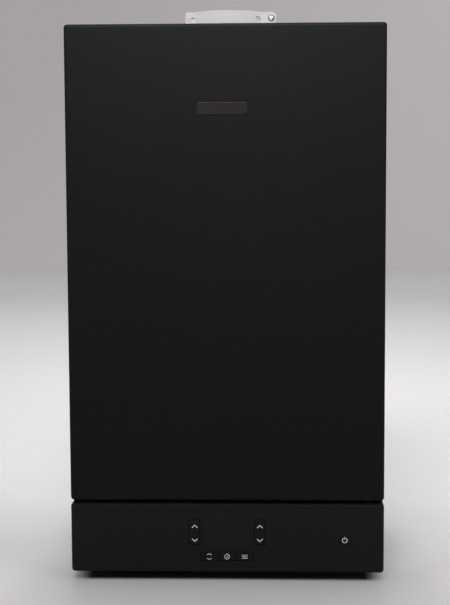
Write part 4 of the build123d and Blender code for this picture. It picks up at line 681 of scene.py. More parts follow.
class Mould:
    """Collects nets of points and turns them into one closed piece."""

    # Edges that turn further than this stay sharp; points closer than the distance merge
    SHARP_TURN = math.radians(35.0)
    MERGE_DISTANCE = 1e-7

    def __init__(self) -> None:
        """Starts empty."""
        self.points: list[np.ndarray] = []
        self.faces: list[list[int]] = []
        self.count = 0

    def net(self, points: np.ndarray, looped: bool = False) -> "Mould":
        """Adds a net whose rows are rings.

        Args:
            points: Net of n rings of m points, in metres.
            looped: True if the last ring joins the first; otherwise both end rings are closed.

        Returns:
            The mould, so that calls can follow each other.
        """
        rings, steps = points.shape[:2]
        index = np.arange(rings * steps).reshape(rings, steps) + self.count
        rows = np.vstack([index, index[:1]]) if looped else index
        wide = np.hstack([rows, rows[:, :1]])
        quads = np.stack([wide[:-1, :-1], wide[:-1, 1:], wide[1:, 1:], wide[1:, :-1]], axis=-1)
        self.faces += quads.reshape(-1, 4).tolist()
        if not looped:
            self.faces += [index[0, ::-1].tolist(), index[-1].tolist()]
        self.points.append(points.reshape(-1, 3))
        self.count += rings * steps
        return self

    def piece(self, name: str, body: str, finish: Finish, slot: str,
              stands_for: tuple[str, ...] = ()) -> None:
        """Makes the piece, with poles merged, faces turned outwards and sharp edges marked.

        Args:
            name: The piece's name.
            body: The body that it rides on.
            finish: Its finish.
            slot: The record's material slot, or nothing; not used.
            stands_for: CAD nodes that it replaces.
        """
        mesh = bpy.data.meshes.new(name)
        mesh.from_pydata(np.vstack(self.points), [], self.faces)
        work = bmesh.new()
        work.from_mesh(mesh)
        bmesh.ops.remove_doubles(work, verts=work.verts, dist=self.MERGE_DISTANCE)
        bmesh.ops.dissolve_degenerate(work, edges=work.edges, dist=self.MERGE_DISTANCE / 10)
        bmesh.ops.recalc_face_normals(work, faces=work.faces)
        for edge in work.edges:
            edge.smooth = len(edge.link_faces) == 2 and edge.calc_face_angle(0.0) < self.SHARP_TURN
        for face in work.faces:
            face.smooth = True
        work.to_mesh(mesh)
        work.free()
        mesh.materials.append(finish.material())
        thing = bpy.data.objects.new(name, mesh)
        bpy.context.scene.collection.objects.link(thing)
        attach(thing, body)
        if stands_for:
            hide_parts(*stands_for)
        LOG.info("%s: %d faces on %s", name, len(mesh.polygons), body)


def turned(profile: Pairs, centre: np.ndarray, way: Way, steps: int = 48) -> np.ndarray:
    """Carries a profile round an axis: place = centre + along x way + radius x (cos, sin).

    Args:
        profile: Radius and place along the axis of each ring, in millimetres.
        centre: Where the axis starts, in metres.
        way: The axis' direction.
        steps: Points in a ring.

    Returns:
        Net of rings.
    """
    radius, rise = np.array(profile).T[..., None]
    return centre + way.rings(radius, rise, steps)


def band(near: float, far: float, width: float) -> Pairs:
    """Gives the profile of a flat ring between two radii, about its middle."""
    return ((near, -width / 2), (far, -width / 2), (far, width / 2), (near, width / 2))


def six_sided(across: float, profile: Pairs, centre: np.ndarray, way: Way,
              steps: int = 72) -> np.ndarray:
    """Nut or hexagon: radius = the lesser of the six flats' radius and each ring's limit.

    Args:
        across: Size across the flats, in millimetres.
        profile: Largest radius and place along the axis of each ring, in millimetres.
        centre: Where the axis starts, in metres.
        way: The axis' direction.
        steps: Points in a ring, a multiple of twelve.

    Returns:
        Net of rings.
    """
    limit, rise = np.array(profile).T[..., None]
    side = math.pi / 3
    flats = across / 2 / np.cos((circle(steps) + side / 2) % side - side / 2)
    return centre + way.rings(np.minimum(flats, limit), rise, steps)


@dataclass(frozen=True)
class UnionNut:
    """Hexagon ring with a wide bore over the fitting and a narrow one over the pipe, in mm."""

    across: float
    length: float
    wide_bore: float
    narrow_bore: float
    face_inset: float = 0.3
    steepness: float = 0.8

    def net(self, centre: np.ndarray, way: Way) -> np.ndarray:
        """Builds the nut from its wide end.

        Args:
            centre: Middle of its first face, in metres.
            way: The direction that it runs in.

        Returns:
            Net of rings, to be looped.
        """
        flat, corner = self.across / 2, self.across / 2 / math.cos(math.pi / 6)
        face, slope = flat - self.face_inset, (corner - flat) * self.steepness
        step = self.length / 2
        profile = ((self.wide_bore, 0.0), (face, 0.0), (corner, slope),
                   (corner, self.length - slope), (face, self.length),
                   (self.narrow_bore, self.length), (self.narrow_bore, step),
                   (self.wide_bore, step))
        return six_sided(self.across, profile, centre, way)


def thread_sleeve(crest: float, depth: float, pitch: float, length: float, lining: Pairs,
                  centre: np.ndarray, way: Way, steps: int = 40,
                  rows_per_turn: int = 8) -> np.ndarray:
    """Screw thread: radius = crest - depth x the distance of (along / pitch - turn) from a crest.

    Both ends fade to the root. From its far end the sleeve goes back over the rings of the lining
    to its start.

    Args:
        crest: Crest radius, in millimetres.
        depth: Depth of the thread.
        pitch: Rise of one turn.
        length: Length of the thread.
        lining: Radius and place along the axis of each ring of the lining.
        centre: Where the thread starts, in metres.
        way: The direction that it runs in.
        steps: Points in a ring.
        rows_per_turn: Rings in one pitch.

    Returns:
        Net of rings, to be looped.
    """
    rise = np.linspace(0.0, length, int(length / pitch * rows_per_turn))[:, None]
    phase = (rise / pitch - circle(steps) / (2 * math.pi)) % 1.0
    fade = np.clip(np.minimum(rise, length - rise) / pitch, 0.0, 1.0)
    radius = crest - depth + depth * np.abs(2 * phase - 1) * fade
    inner_radius, inner_rise = np.array(lining).T[..., None]
    radius = np.vstack([radius, inner_radius + np.zeros(steps)])
    return centre + way.rings(radius, np.vstack([rise, inner_rise]), steps)


@dataclass(frozen=True)
class Screw:
    """Domed screw head with a driver's recess, in millimetres."""

    radius: float
    height: float
    arm_half: float
    arm_reach: float
    rings: int = 26
    steps: int = 64
    recess: Recess = Recess.CROSS
    dome: float = 0.45
    recess_depth: float = 0.62
    wall: float = 0.15
    end_wall: float = 0.3

    def head(self, centre: np.ndarray, way: Way) -> np.ndarray:
        """Builds the head, from the middle over the rim to the seat.

        The rise is height x (1 - dome x (distance / radius) squared), less recess_depth x height
        where the point is within arm_half of an arm and arm_reach of the middle.

        Args:
            centre: Middle of the head's seat, in metres.
            way: The direction that the head faces.

        Returns:
            Net of rings.
        """
        out = np.linspace(0.0, self.radius, self.rings)[:, None]
        turn = circle(self.steps)
        x, y = out * np.cos(turn), out * np.sin(turn)
        arm = np.abs(y) if self.recess is Recess.SLOT else np.minimum(np.abs(x), np.abs(y))
        inside = (np.clip((self.arm_half - arm) / self.wall, 0, 1)
                  * np.clip((self.arm_reach - out) / self.end_wall, 0, 1))
        rise = self.height * (1 - self.dome * (out / self.radius) ** 2 - self.recess_depth * inside)
        x, y = np.vstack([x, x[-1:]]), np.vstack([y, y[-1:]])
        return centre + way.carry(x, y, np.vstack([rise, np.zeros((1, self.steps))]))


def tube(path: np.ndarray, radius: float, normal: np.ndarray, steps: int = 12) -> np.ndarray:
    """Carries a circle along a path that lies in one plane.

    Args:
        path: Points of the path, in metres.
        radius: Radius of the tube, in metres.
        normal: Unit normal of the path's plane.
        steps: Points in a ring.

    Returns:
        Net of rings.
    """
    tangent = np.gradient(path, axis=0)
    tangent /= np.linalg.norm(tangent, axis=1, keepdims=True)
    side = np.cross(tangent, normal)[:, None]
    turn = circle(steps)[None, :, None]
    return path[:, None] + radius * (np.cos(turn) * side + np.sin(turn) * normal)


def stroke(points: np.ndarray, width: float, centre: np.ndarray, closed: bool = False,
           film: float = 0.06) -> np.ndarray:
    """Printed line of one width: each point moves half a width along its mitred normal.

    Args:
        points: Corners of the line, across and up, in millimetres.
        width: Width of the line.
        centre: The mark's middle on the printed face, in metres.
        closed: True if the line's ends meet.
        film: Thickness of the ink above the face.

    Returns:
        Net of four-cornered rings.
    """
    before = np.roll(points, 1, axis=0)
    after = np.roll(points, -1, axis=0)
    if not closed:
        before[0] = 2 * points[0] - points[1]
        after[-1] = 2 * points[-1] - points[-2]
    arrive, leave = points - before, after - points
    arrive /= np.linalg.norm(arrive, axis=1, keepdims=True)
    leave /= np.linalg.norm(leave, axis=1, keepdims=True)
    square = np.stack([-arrive[:, 1], arrive[:, 0]], axis=1)
    square_after = np.stack([-leave[:, 1], leave[:, 0]], axis=1)
    mitre = (square + square_after) / (1 + np.sum(square * square_after, axis=1, keepdims=True))
    left, right = points + mitre * width / 2, points - mitre * width / 2
    rings = [np.stack([edge[:, 0], np.full(len(edge), y), edge[:, 1]], axis=1)
             for y, edge in ((-film, left), (-film, right), (film, right), (film, left))]
    return centre + np.stack(rings, axis=1) * MM


def arc(radius: float, start: float, end: float, steps: int = 24) -> np.ndarray:
    """Gives points on a circle between two angles in degrees, in millimetres."""
    turn = np.radians(np.linspace(start, end, steps))
    return radius * np.stack([np.cos(turn), np.sin(turn)], axis=1)


@dataclass(frozen=True)
class Pad:
    """Flat pad with rounded corners, whose rim rounds over by a quarter circle, in millimetres."""

    width: float
    height: float
    corner: float
    thickness: float
    edge: float

    def net(self, centre: np.ndarray, way: Way, steps: int = 10, rim_steps: int = 5) -> np.ndarray:
        """Builds the pad from its foot to its face.

        Args:
            centre: Middle of the pad's foot, in metres.
            way: The direction that the pad faces.
            steps: Points in a corner.
            rim_steps: Rings in the rim.

        Returns:
            Net of rings.
        """
        quarter = np.linspace(0.0, math.pi / 2, steps)
        turn = (quarter + circle(4)[:, None]).ravel()
        middle = np.repeat([[1, 1], [-1, 1], [-1, -1], [1, -1]], steps, axis=0)
        roll = np.linspace(0.0, math.pi / 2, rim_steps)
        inset = np.append(0.0, self.edge * (1 - np.cos(roll)))
        rise = np.append(0.0, self.thickness - self.edge + self.edge * np.sin(roll))
        radius = np.maximum(self.corner - inset, 0.0)[:, None]
        x = middle[:, 0] * (self.width / 2 - self.corner) + radius * np.cos(turn)
        y = middle[:, 1] * (self.height / 2 - self.corner) + radius * np.sin(turn)
        return centre + way.carry(x, y, rise[:, None])


def dress(finish: Finish, *nodes: str) -> None:
    """Gives CAD nodes a finish in their own material slots."""
    for name in nodes:
        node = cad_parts[name]
        if not node.material_slots:
            node.data.materials.append(None)
        for material_slot in node.material_slots:
            material_slot.material = finish.material()


def add_heads(name: str, body: str, screw: Screw, seats: list[np.ndarray], way: Way) -> None:
    """Makes one piece of several screw heads.

    Args:
        name: The piece's name.
        body: The body that it rides on.
        screw: The heads' shape.
        seats: Middle of each head's seat, in metres.
        way: The direction that the heads face.
    """
    mould = Mould()
    for seat in seats:
        mould.net(screw.head(seat, way))
    mould.piece(name, body, Finishes.zinc_screw, "fastener")


# Sub-assemblies


@dataclass
class Casing:
    """Painted and galvanised sheet round the works, and what hangs it on the wall."""

    rib_columns: tuple[float, ...] = (-150.0, -75.0, 75.0, 150.0)
    rib_low: float = 60.0
    rib_high: float = 560.0
    rib_width: float = 14.0
    rib_rise: float = 2.2
    rib_sink: float = 0.1
    rib_depth: float = 280.9
    rivet_columns: tuple[float, ...] = (-176.0, 176.0)
    rivet_low: float = 40.0
    rivet_high: float = 700.0
    rivet_pitch: float = 62.0
    rivet_depth: float = 281.0
    rivet_dome: Pairs = ((0.0, 0.9), (1.2, 0.8), (2.0, 0.5), (2.4, 0.0))

    def build(self) -> None:
        """Finishes the sheet parts and adds ribs and rivets."""
        dress(Finishes.cover_paint, "left_side_panel", "right_side_panel", "top_panel")
        dress(Finishes.galvanised, "back_panel", "bottom_tray", "cross_rail", "wall_bracket",
              "exchanger_bracket")
        dress(Finishes.zinc_screw, "hinge_pins")
        dress(Finishes.seal_rubber, "cable_gland")
        self.ribs()
        self.rivets()

    def ribs(self) -> None:
        """Pressed ribs on the back panel, rounded bars that stand towards the wall."""
        mould = Mould()
        for x in self.rib_columns:
            mould.net(self.upright_rib(x))
        mould.piece("back_panel_ribs", "casing", Finishes.galvanised, "galvanised")

    def upright_rib(self, x: float, rings: int = 60, steps: int = 24) -> np.ndarray:
        """Half-round bar: its half width swells and closes with the square root at both ends."""
        half, length = self.rib_width / 2, self.rib_high - self.rib_low
        rise = np.linspace(0.0, length, rings)[:, None]
        from_end = np.clip(np.minimum(rise, length - rise) / half, 0.0, 1.0)
        swell = np.sqrt(1 - (1 - from_end) ** 2)
        turn = circle(steps)
        proud = np.sin(turn).clip(-self.rib_sink, 1.0)
        return spot(x, self.rib_depth, self.rib_low) + Way.UP.carry(
            half * swell * np.cos(turn), self.rib_rise * swell * proud, rise)

    def rivets(self) -> None:
        """Round rivet heads down the rear edges of the back panel."""
        mould = Mould()
        for x in self.rivet_columns:
            for height in np.arange(self.rivet_low, self.rivet_high, self.rivet_pitch):
                seat = spot(x, self.rivet_depth, height)
                mould.net(turned(self.rivet_dome, seat, Way.BACKWARD, steps=20))
        mould.piece("back_panel_rivets", "casing", Finishes.zinc_screw, "fastener")


@dataclass
class FrontCover:
    """The pull-off cover with its blank badge plate."""

    def build(self) -> None:
        """Finishes the cover, gasket, screws and badge."""
        dress(Finishes.cover_paint, "front_cover")
        dress(Finishes.seal_rubber, "cover_gasket")
        dress(Finishes.zinc_screw, "cover_screws")
        dress(Finishes.badge_metal, "front_badge")


# A printed line: its corners, its width and whether its ends meet
Line = tuple[np.ndarray, float, bool]


@dataclass
class ControlPanel:
    """Drop-down panel with its keys, window and printed legends."""

    line: float = 1.2
    fine_line: float = 0.78
    ring_line: float = 1.0
    chevron: Pairs = ((-3.7, 5.8), (0.0, 9.3), (3.7, 5.8))
    down_shift: float = 3.3
    left_shift: float = 0.6
    arc_radius: float = 3.5
    arc_stretch: float = 1.1
    arc_half_angle: float = 52.0
    gauge_radius: float = 3.3
    gauge_sweep: float = 345.0
    needle: Pairs = ((-1.2, -0.2), (-0.2, -1.2), (1.6, 1.4))
    bar_half: float = 3.8
    bar_pitch: float = 2.1
    power_radius: float = 3.2
    power_gap: float = 22.0
    power_tick: Pairs = ((0.0, 1.2), (0.0, 4.6))
    small_shift: float = -0.3
    row_shift: float = -0.4
    power_shift: float = 0.7
    box_edge: float = 7.0
    box_columns: tuple[float, ...] = (-1.0, -1 / 3, 1 / 3, 1.0)
    box_screw: Screw = Screw(3.4, 1.8, arm_half=0.55, arm_reach=2.2, rings=22, steps=48)

    def build(self) -> None:
        """Finishes the panel and prints its legends."""
        dress(Finishes.fascia_plastic, "control_fascia")
        dress(Finishes.key_plastic, "left_rocker_key", "right_rocker_key", "temperature_key",
              "gauge_key", "menu_key", "power_button")
        dress(Finishes.window, "display_window")
        dress(Finishes.box_moulding, "control_box")
        dress(Finishes.board, "control_board")
        self.chevrons("left_rocker", self.left_shift)
        self.chevrons("right_rocker", 0.0)
        self.exchange_mark()
        self.gauge_mark()
        self.menu_mark()
        self.power_mark()
        self.box_screws()

    @staticmethod
    def print_mark(name: str, body: str, key: str, lines: list[Line], x_shift: float,
                   rise: float) -> None:
        """Prints one legend on the front plane.

        Args:
            name: The piece's name.
            body: The key's body.
            key: The key's CAD node.
            lines: The legend's lines.
            x_shift: How far right of the key's middle the legend stands, in millimetres.
            rise: How far above the key's middle it stands.
        """
        middle = Place.of(key).middle
        centre = spot(middle[0] + x_shift, 0.0, middle[2] + rise)
        mould = Mould()
        for points, width, closed in lines:
            mould.net(stroke(points, width, centre, closed), closed)
        mould.piece(name, body, Finishes.legend_ink, "")

    def chevrons(self, body: str, x_shift: float) -> None:
        """Prints the up and down chevrons of a rocker."""
        up = np.array(self.chevron)
        down = up * [1, -1] - [0.0, self.down_shift]
        self.print_mark(f"{body}_chevrons", body, f"{body}_key",
                        [(up, self.line, False), (down, self.line, False)], x_shift, 0.0)

    def exchange_mark(self) -> None:
        """Prints two arcs that face each other."""
        half = self.arc_half_angle
        arcs = [(arc(self.arc_radius, middle - half, middle + half) * [self.arc_stretch, 1.0],
                 self.fine_line, False) for middle in (90, 270)]
        self.print_mark("temperature_legend", "temperature_press", "temperature_key", arcs,
                        self.small_shift, self.row_shift)

    def gauge_mark(self) -> None:
        """Prints a ring with a needle."""
        ring = arc(self.gauge_radius, 0, self.gauge_sweep, 32)
        self.print_mark("gauge_legend", "gauge_press", "gauge_key",
                        [(ring, self.fine_line, True),
                         (np.array(self.needle), self.fine_line, False)], 0.0, self.row_shift)

    def menu_mark(self) -> None:
        """Prints three bars."""
        bars = [(np.array([[-self.bar_half, y], [self.bar_half, y]]), self.fine_line, False)
                for y in (-self.bar_pitch, 0.0, self.bar_pitch)]
        self.print_mark("menu_legend", "menu_press", "menu_key", bars, 0.0, self.row_shift)

    def power_mark(self) -> None:
        """Prints an open ring with a tick at its top."""
        ring = arc(self.power_radius, 90 + self.power_gap, 450 - self.power_gap, 32)
        self.print_mark("power_legend", "power_press", "power_button",
                        [(ring, self.ring_line, False),
                         (np.array(self.power_tick), self.ring_line, False)],
                        self.small_shift, self.power_shift)

    def box_screws(self) -> None:
        """Recessed screws round the back of the control box."""
        box = Place.of("control_box")
        seats = [spot(share * (box.high[0] - self.box_edge), box.high[1] - 2 * SINK, height)
                 for share in self.box_columns
                 for height in (box.low[2] + self.box_edge, box.high[2] - self.box_edge)]
        add_heads("control_box_screws", "control_panel", self.box_screw, seats, Way.BACKWARD)


@dataclass
class FlueCollar:
    """Collar on the roof, its clamp and the flue pipe inside."""

    strap_sheet: float = 1.5
    ear_plane: float = 23.0
    catch_angle: float = -38.0
    catch_half: float = 3.4
    catch_rise: float = 2.0
    catch_drop: float = 0.6
    catch_wire: float = 0.55
    catch_bend: tuple[float, float] = (-60.0, 180.0)
    tongue: Pad = Pad(1.8, 6.2, corner=0.6, thickness=0.9, edge=0.4)
    tongue_rise: float = 0.6
    tongue_inset: float = 10.3
    washer: Pairs = ((4.5, 0.0), (4.5, 0.6), (4.3, 0.8), (2.4, 0.8))
    shank: Pairs = ((2.5, 0.0), (2.5, 7.6), (2.1, 8.0))
    nut_across: float = 8.0
    nut: Pairs = ((4.2, 3.0), (4.7, 3.3), (4.7, 6.6), (4.2, 7.0))
    clamp_head: Screw = Screw(2.9, 1.7, arm_half=0.5, arm_reach=2.0)
    clamp_head_seat: float = 0.7
    roof_head: Screw = Screw(4.5, 3.0, arm_half=0.7, arm_reach=2.8)
    roof_shank: Pairs = ((2.0, 0.0), (2.0, 1.4))
    flange_sheet: float = 1.5

    def build(self) -> None:
        """Finishes the collar and clamp, and adds catches and recessed screws."""
        dress(Finishes.collar_zinc, "flue_collar")
        dress(Finishes.clamp_metal, "flue_clamp_front", "flue_clamp_rear")
        dress(Finishes.flue_tube, "flue_pipe")
        dress(Finishes.seal_rubber, "flue_seal")
        self.catch()
        self.clamp_screw()
        self.roof_screws()

    @property
    def axis_depth(self) -> float:
        """Depth of the collar's axis behind the front."""
        return Place.of("flue_collar").middle[1]

    @property
    def ear_face(self) -> float:
        """Depth of the front face of the clamp's ears."""
        return self.axis_depth - self.ear_plane - self.strap_sheet

    def catch(self) -> None:
        """Pressed loop in the front strap's tangent plane, and the tongue's tip on the left ear."""
        strap = Place.of("flue_clamp_rear")
        level = strap.middle[2]
        turn = math.radians(self.catch_angle)
        out = np.array([math.cos(turn), math.sin(turn), 0.0])
        along = np.array([-math.sin(turn), math.cos(turn), 0.0])
        middle = (spot(0, self.axis_depth, level - self.catch_drop)
                  + out * (strap.high[1] - self.axis_depth) * MM)
        bend = np.radians(np.linspace(*self.catch_bend, 40))[:, None]
        path = middle + MM * (self.catch_half * np.cos(bend) * along
                              + self.catch_rise * np.sin(bend) * np.array(Way.UP.value))
        mould = Mould().net(tube(path, self.catch_wire * MM, out, steps=10))
        # The tongue's tip is dark steel, which also stands in for the shade in the left ear's slot
        tip = spot(Place.of("flue_clamp_front").low[0] + self.tongue_inset, self.ear_face,
                   level + self.tongue_rise)
        mould.net(self.tongue.net(tip, Way.FORWARD))
        mould.piece("clamp_catches", "casing", Finishes.dark_steel_and_shade, "fastener")

    def clamp_screw(self) -> None:
        """Screw with washer and nut through the clamp's right ears."""
        cad = Place.of("clamp_screw")
        seat = spot(cad.middle[0], self.ear_face, cad.middle[2])
        # The washer is dark steel, which also stands in for the shaded gap round the screw head
        rest = Mould().net(turned(self.washer, seat, Way.FORWARD))
        rest.net(turned(self.shank, seat, Way.BACKWARD, steps=24))
        rest.net(six_sided(self.nut_across, self.nut, seat, Way.BACKWARD))
        rest.piece("clamp_screw_set", "casing", Finishes.dark_steel_and_shade, "fastener", ("clamp_screw",))
        head = self.clamp_head.head(seat - [0, self.clamp_head_seat * MM, 0], Way.FORWARD)
        Mould().net(head).piece("clamp_screw_head", "casing", Finishes.clamp_steel, "fastener")

    def roof_screws(self) -> None:
        """Four screws that hold the collar's flange."""
        cad = Place.of("collar_screws")
        inset = self.roof_head.radius
        mould = Mould()
        for x in (cad.low[0] + inset, cad.high[0] - inset):
            for depth in (cad.low[1] + inset, cad.high[1] - inset):
                seat = spot(x, depth, cad.low[2] + self.flange_sheet)
                mould.net(self.roof_head.head(seat, Way.UP))
                mould.net(turned(self.roof_shank, seat, Way.DOWN, steps=20))
        mould.piece("roof_screws", "casing", Finishes.zinc_screw, "fastener", ("collar_screws",))


@dataclass
class BurnerSide:
    """Heat exchanger, burner, fan, mixture duct and gas train."""

    plate_depth: float = 25.5
    plate_screws: int = 6
    plate_screw_ring: float = 60.0
    plate_screw_turn: float = 15.0
    plate_screw: Screw = Screw(3.6, 2.2, arm_half=0.6, arm_reach=2.4, rings=22, steps=48)
    motor_radius: float = 34.0
    fin_count: int = 5
    fin_rise: float = 0.5
    fin_half: float = 0.7
    fin_margins: tuple[float, float] = (3.0, 2.5)
    shell_radius: float = 98.0
    bead_depths: tuple[float, ...] = (100.0, 122.0, 200.0)
    bead: Pairs = ((-0.6, -3.4), (0.5, -2.2), (1.5, -0.8), (1.5, 0.8), (0.5, 2.2), (-0.6, 3.4))
    valve_port_reach: float = 6.0
    valve_coil_reach: float = 22.0
    valve_screw_inset: float = 7.0
    valve_screw: Screw = Screw(3.4, 2.2, arm_half=0.6, arm_reach=2.3, rings=22, steps=48)
    cap_shares: tuple[float, float] = (0.72, 0.36)
    cap_radii: tuple[float, float] = (7.0, 4.2)
    cap_depth: float = 22.0
    cap_profile: Pairs = ((0.8, 0.0), (0.8, 1.4), (0.0, 1.8), (0.0, 4.4), (-0.6, 5.0))
    cap_bore: float = 0.45
    cap_bore_floor: float = 3.4

    def build(self) -> None:
        """Finishes the burner side and adds its screws, fins, beads and caps."""
        dress(Finishes.stainless, "heat_exchanger", "burner_tube")
        dress(Finishes.stainless_round, "exchanger_coil")
        dress(Finishes.cast_aluminium, "burner_door", "mixture_duct", "gas_valve", "fan_housing")
        dress(Finishes.zinc_screw, "door_nuts")
        dress(Finishes.dark_moulding, "fan_motor", "fan_impeller", "venturi")
        dress(Finishes.gas_paint, "gas_pipes")
        dress(Finishes.ceramic, "ignition_electrodes")
        dress(Finishes.box_moulding, "ignition_transformer")
        dress(Finishes.lead_silicone, "ignition_lead")
        self.motor_screws()
        self.motor_fins()
        self.shell_beads()
        self.valve_caps()
        self.valve_screws()

    @staticmethod
    def about_fan(depth: float, reach: float = 0.0, turn: float = 0.0) -> np.ndarray:
        """Gives the place at a depth, a reach and an angle about the fan's axis."""
        wheel = Place.of("fan_impeller").middle
        return spot(wheel[0] + reach * math.cos(turn), depth, wheel[2] + reach * math.sin(turn))

    def motor_screws(self) -> None:
        """Recessed screws that hold the motor's plate to the fan housing."""
        turns = circle(self.plate_screws) + math.radians(self.plate_screw_turn)
        seats = [self.about_fan(self.plate_depth + SINK, self.plate_screw_ring, turn)
                 for turn in turns]
        add_heads("fan_plate_screws", "casing", self.plate_screw, seats, Way.FORWARD)

    def motor_fins(self) -> None:
        """Thin rounded rings round the motor's housing."""
        turn = circle(8)
        profile = np.stack([self.motor_radius + self.fin_rise * np.cos(turn),
                            self.fin_half * np.sin(turn)], axis=1)
        first = Place.of("fan_motor").low[1] + self.fin_margins[0]
        mould = Mould()
        for depth in np.linspace(first, self.plate_depth - self.fin_margins[1], self.fin_count):
            mould.net(turned(profile, self.about_fan(depth), Way.BACKWARD, steps=72), True)
        mould.piece("fan_motor_fins", "casing", Finishes.dark_moulding, "moulded_dark")

    def shell_beads(self) -> None:
        """Rolled beads round the exchanger's shell, which stiffen it."""
        centre = spot(0, 0, Place.of("burner_door").middle[2])
        mould = Mould()
        for depth in self.bead_depths:
            profile = np.array(self.bead) + [self.shell_radius, depth]
            mould.net(turned(profile, centre, Way.BACKWARD, steps=128), True)
        mould.piece("exchanger_beads", "casing", Finishes.stainless, "stainless")

    def valve_screws(self) -> None:
        """Four recessed screws in the corners of the gas valve's front."""
        valve = Place.of("gas_valve")
        reach, inset = self.valve_port_reach, self.valve_screw_inset
        front = valve.low[1] + self.valve_coil_reach
        seats = [spot(x, front + SINK, height)
                 for x in (valve.low[0] + reach + inset, valve.high[0] - inset)
                 for height in (valve.low[2] + reach + inset, valve.high[2] - inset)]
        add_heads("gas_valve_screws", "casing", self.valve_screw, seats, Way.FORWARD)

    def valve_caps(self) -> None:
        """Adjusting plug and test nipple on the gas valve's right side, each with a bore."""
        valve = Place.of("gas_valve")
        mould = Mould()
        for share, radius in zip(self.cap_shares, self.cap_radii):
            seat = spot(valve.high[0] - 2 * SINK, valve.high[1] - self.cap_depth,
                        valve.low[2] + share * valve.size[2])
            outside = np.array(self.cap_profile) + [radius, 0.0]
            bore = radius * self.cap_bore
            inside = [(bore, outside[-1, 1]), (bore, self.cap_bore_floor)]
            mould.net(turned(np.vstack([outside, inside]), seat, Way.ACROSS, steps=40))
        mould.piece("gas_valve_caps", "casing", Finishes.brass, "brass")


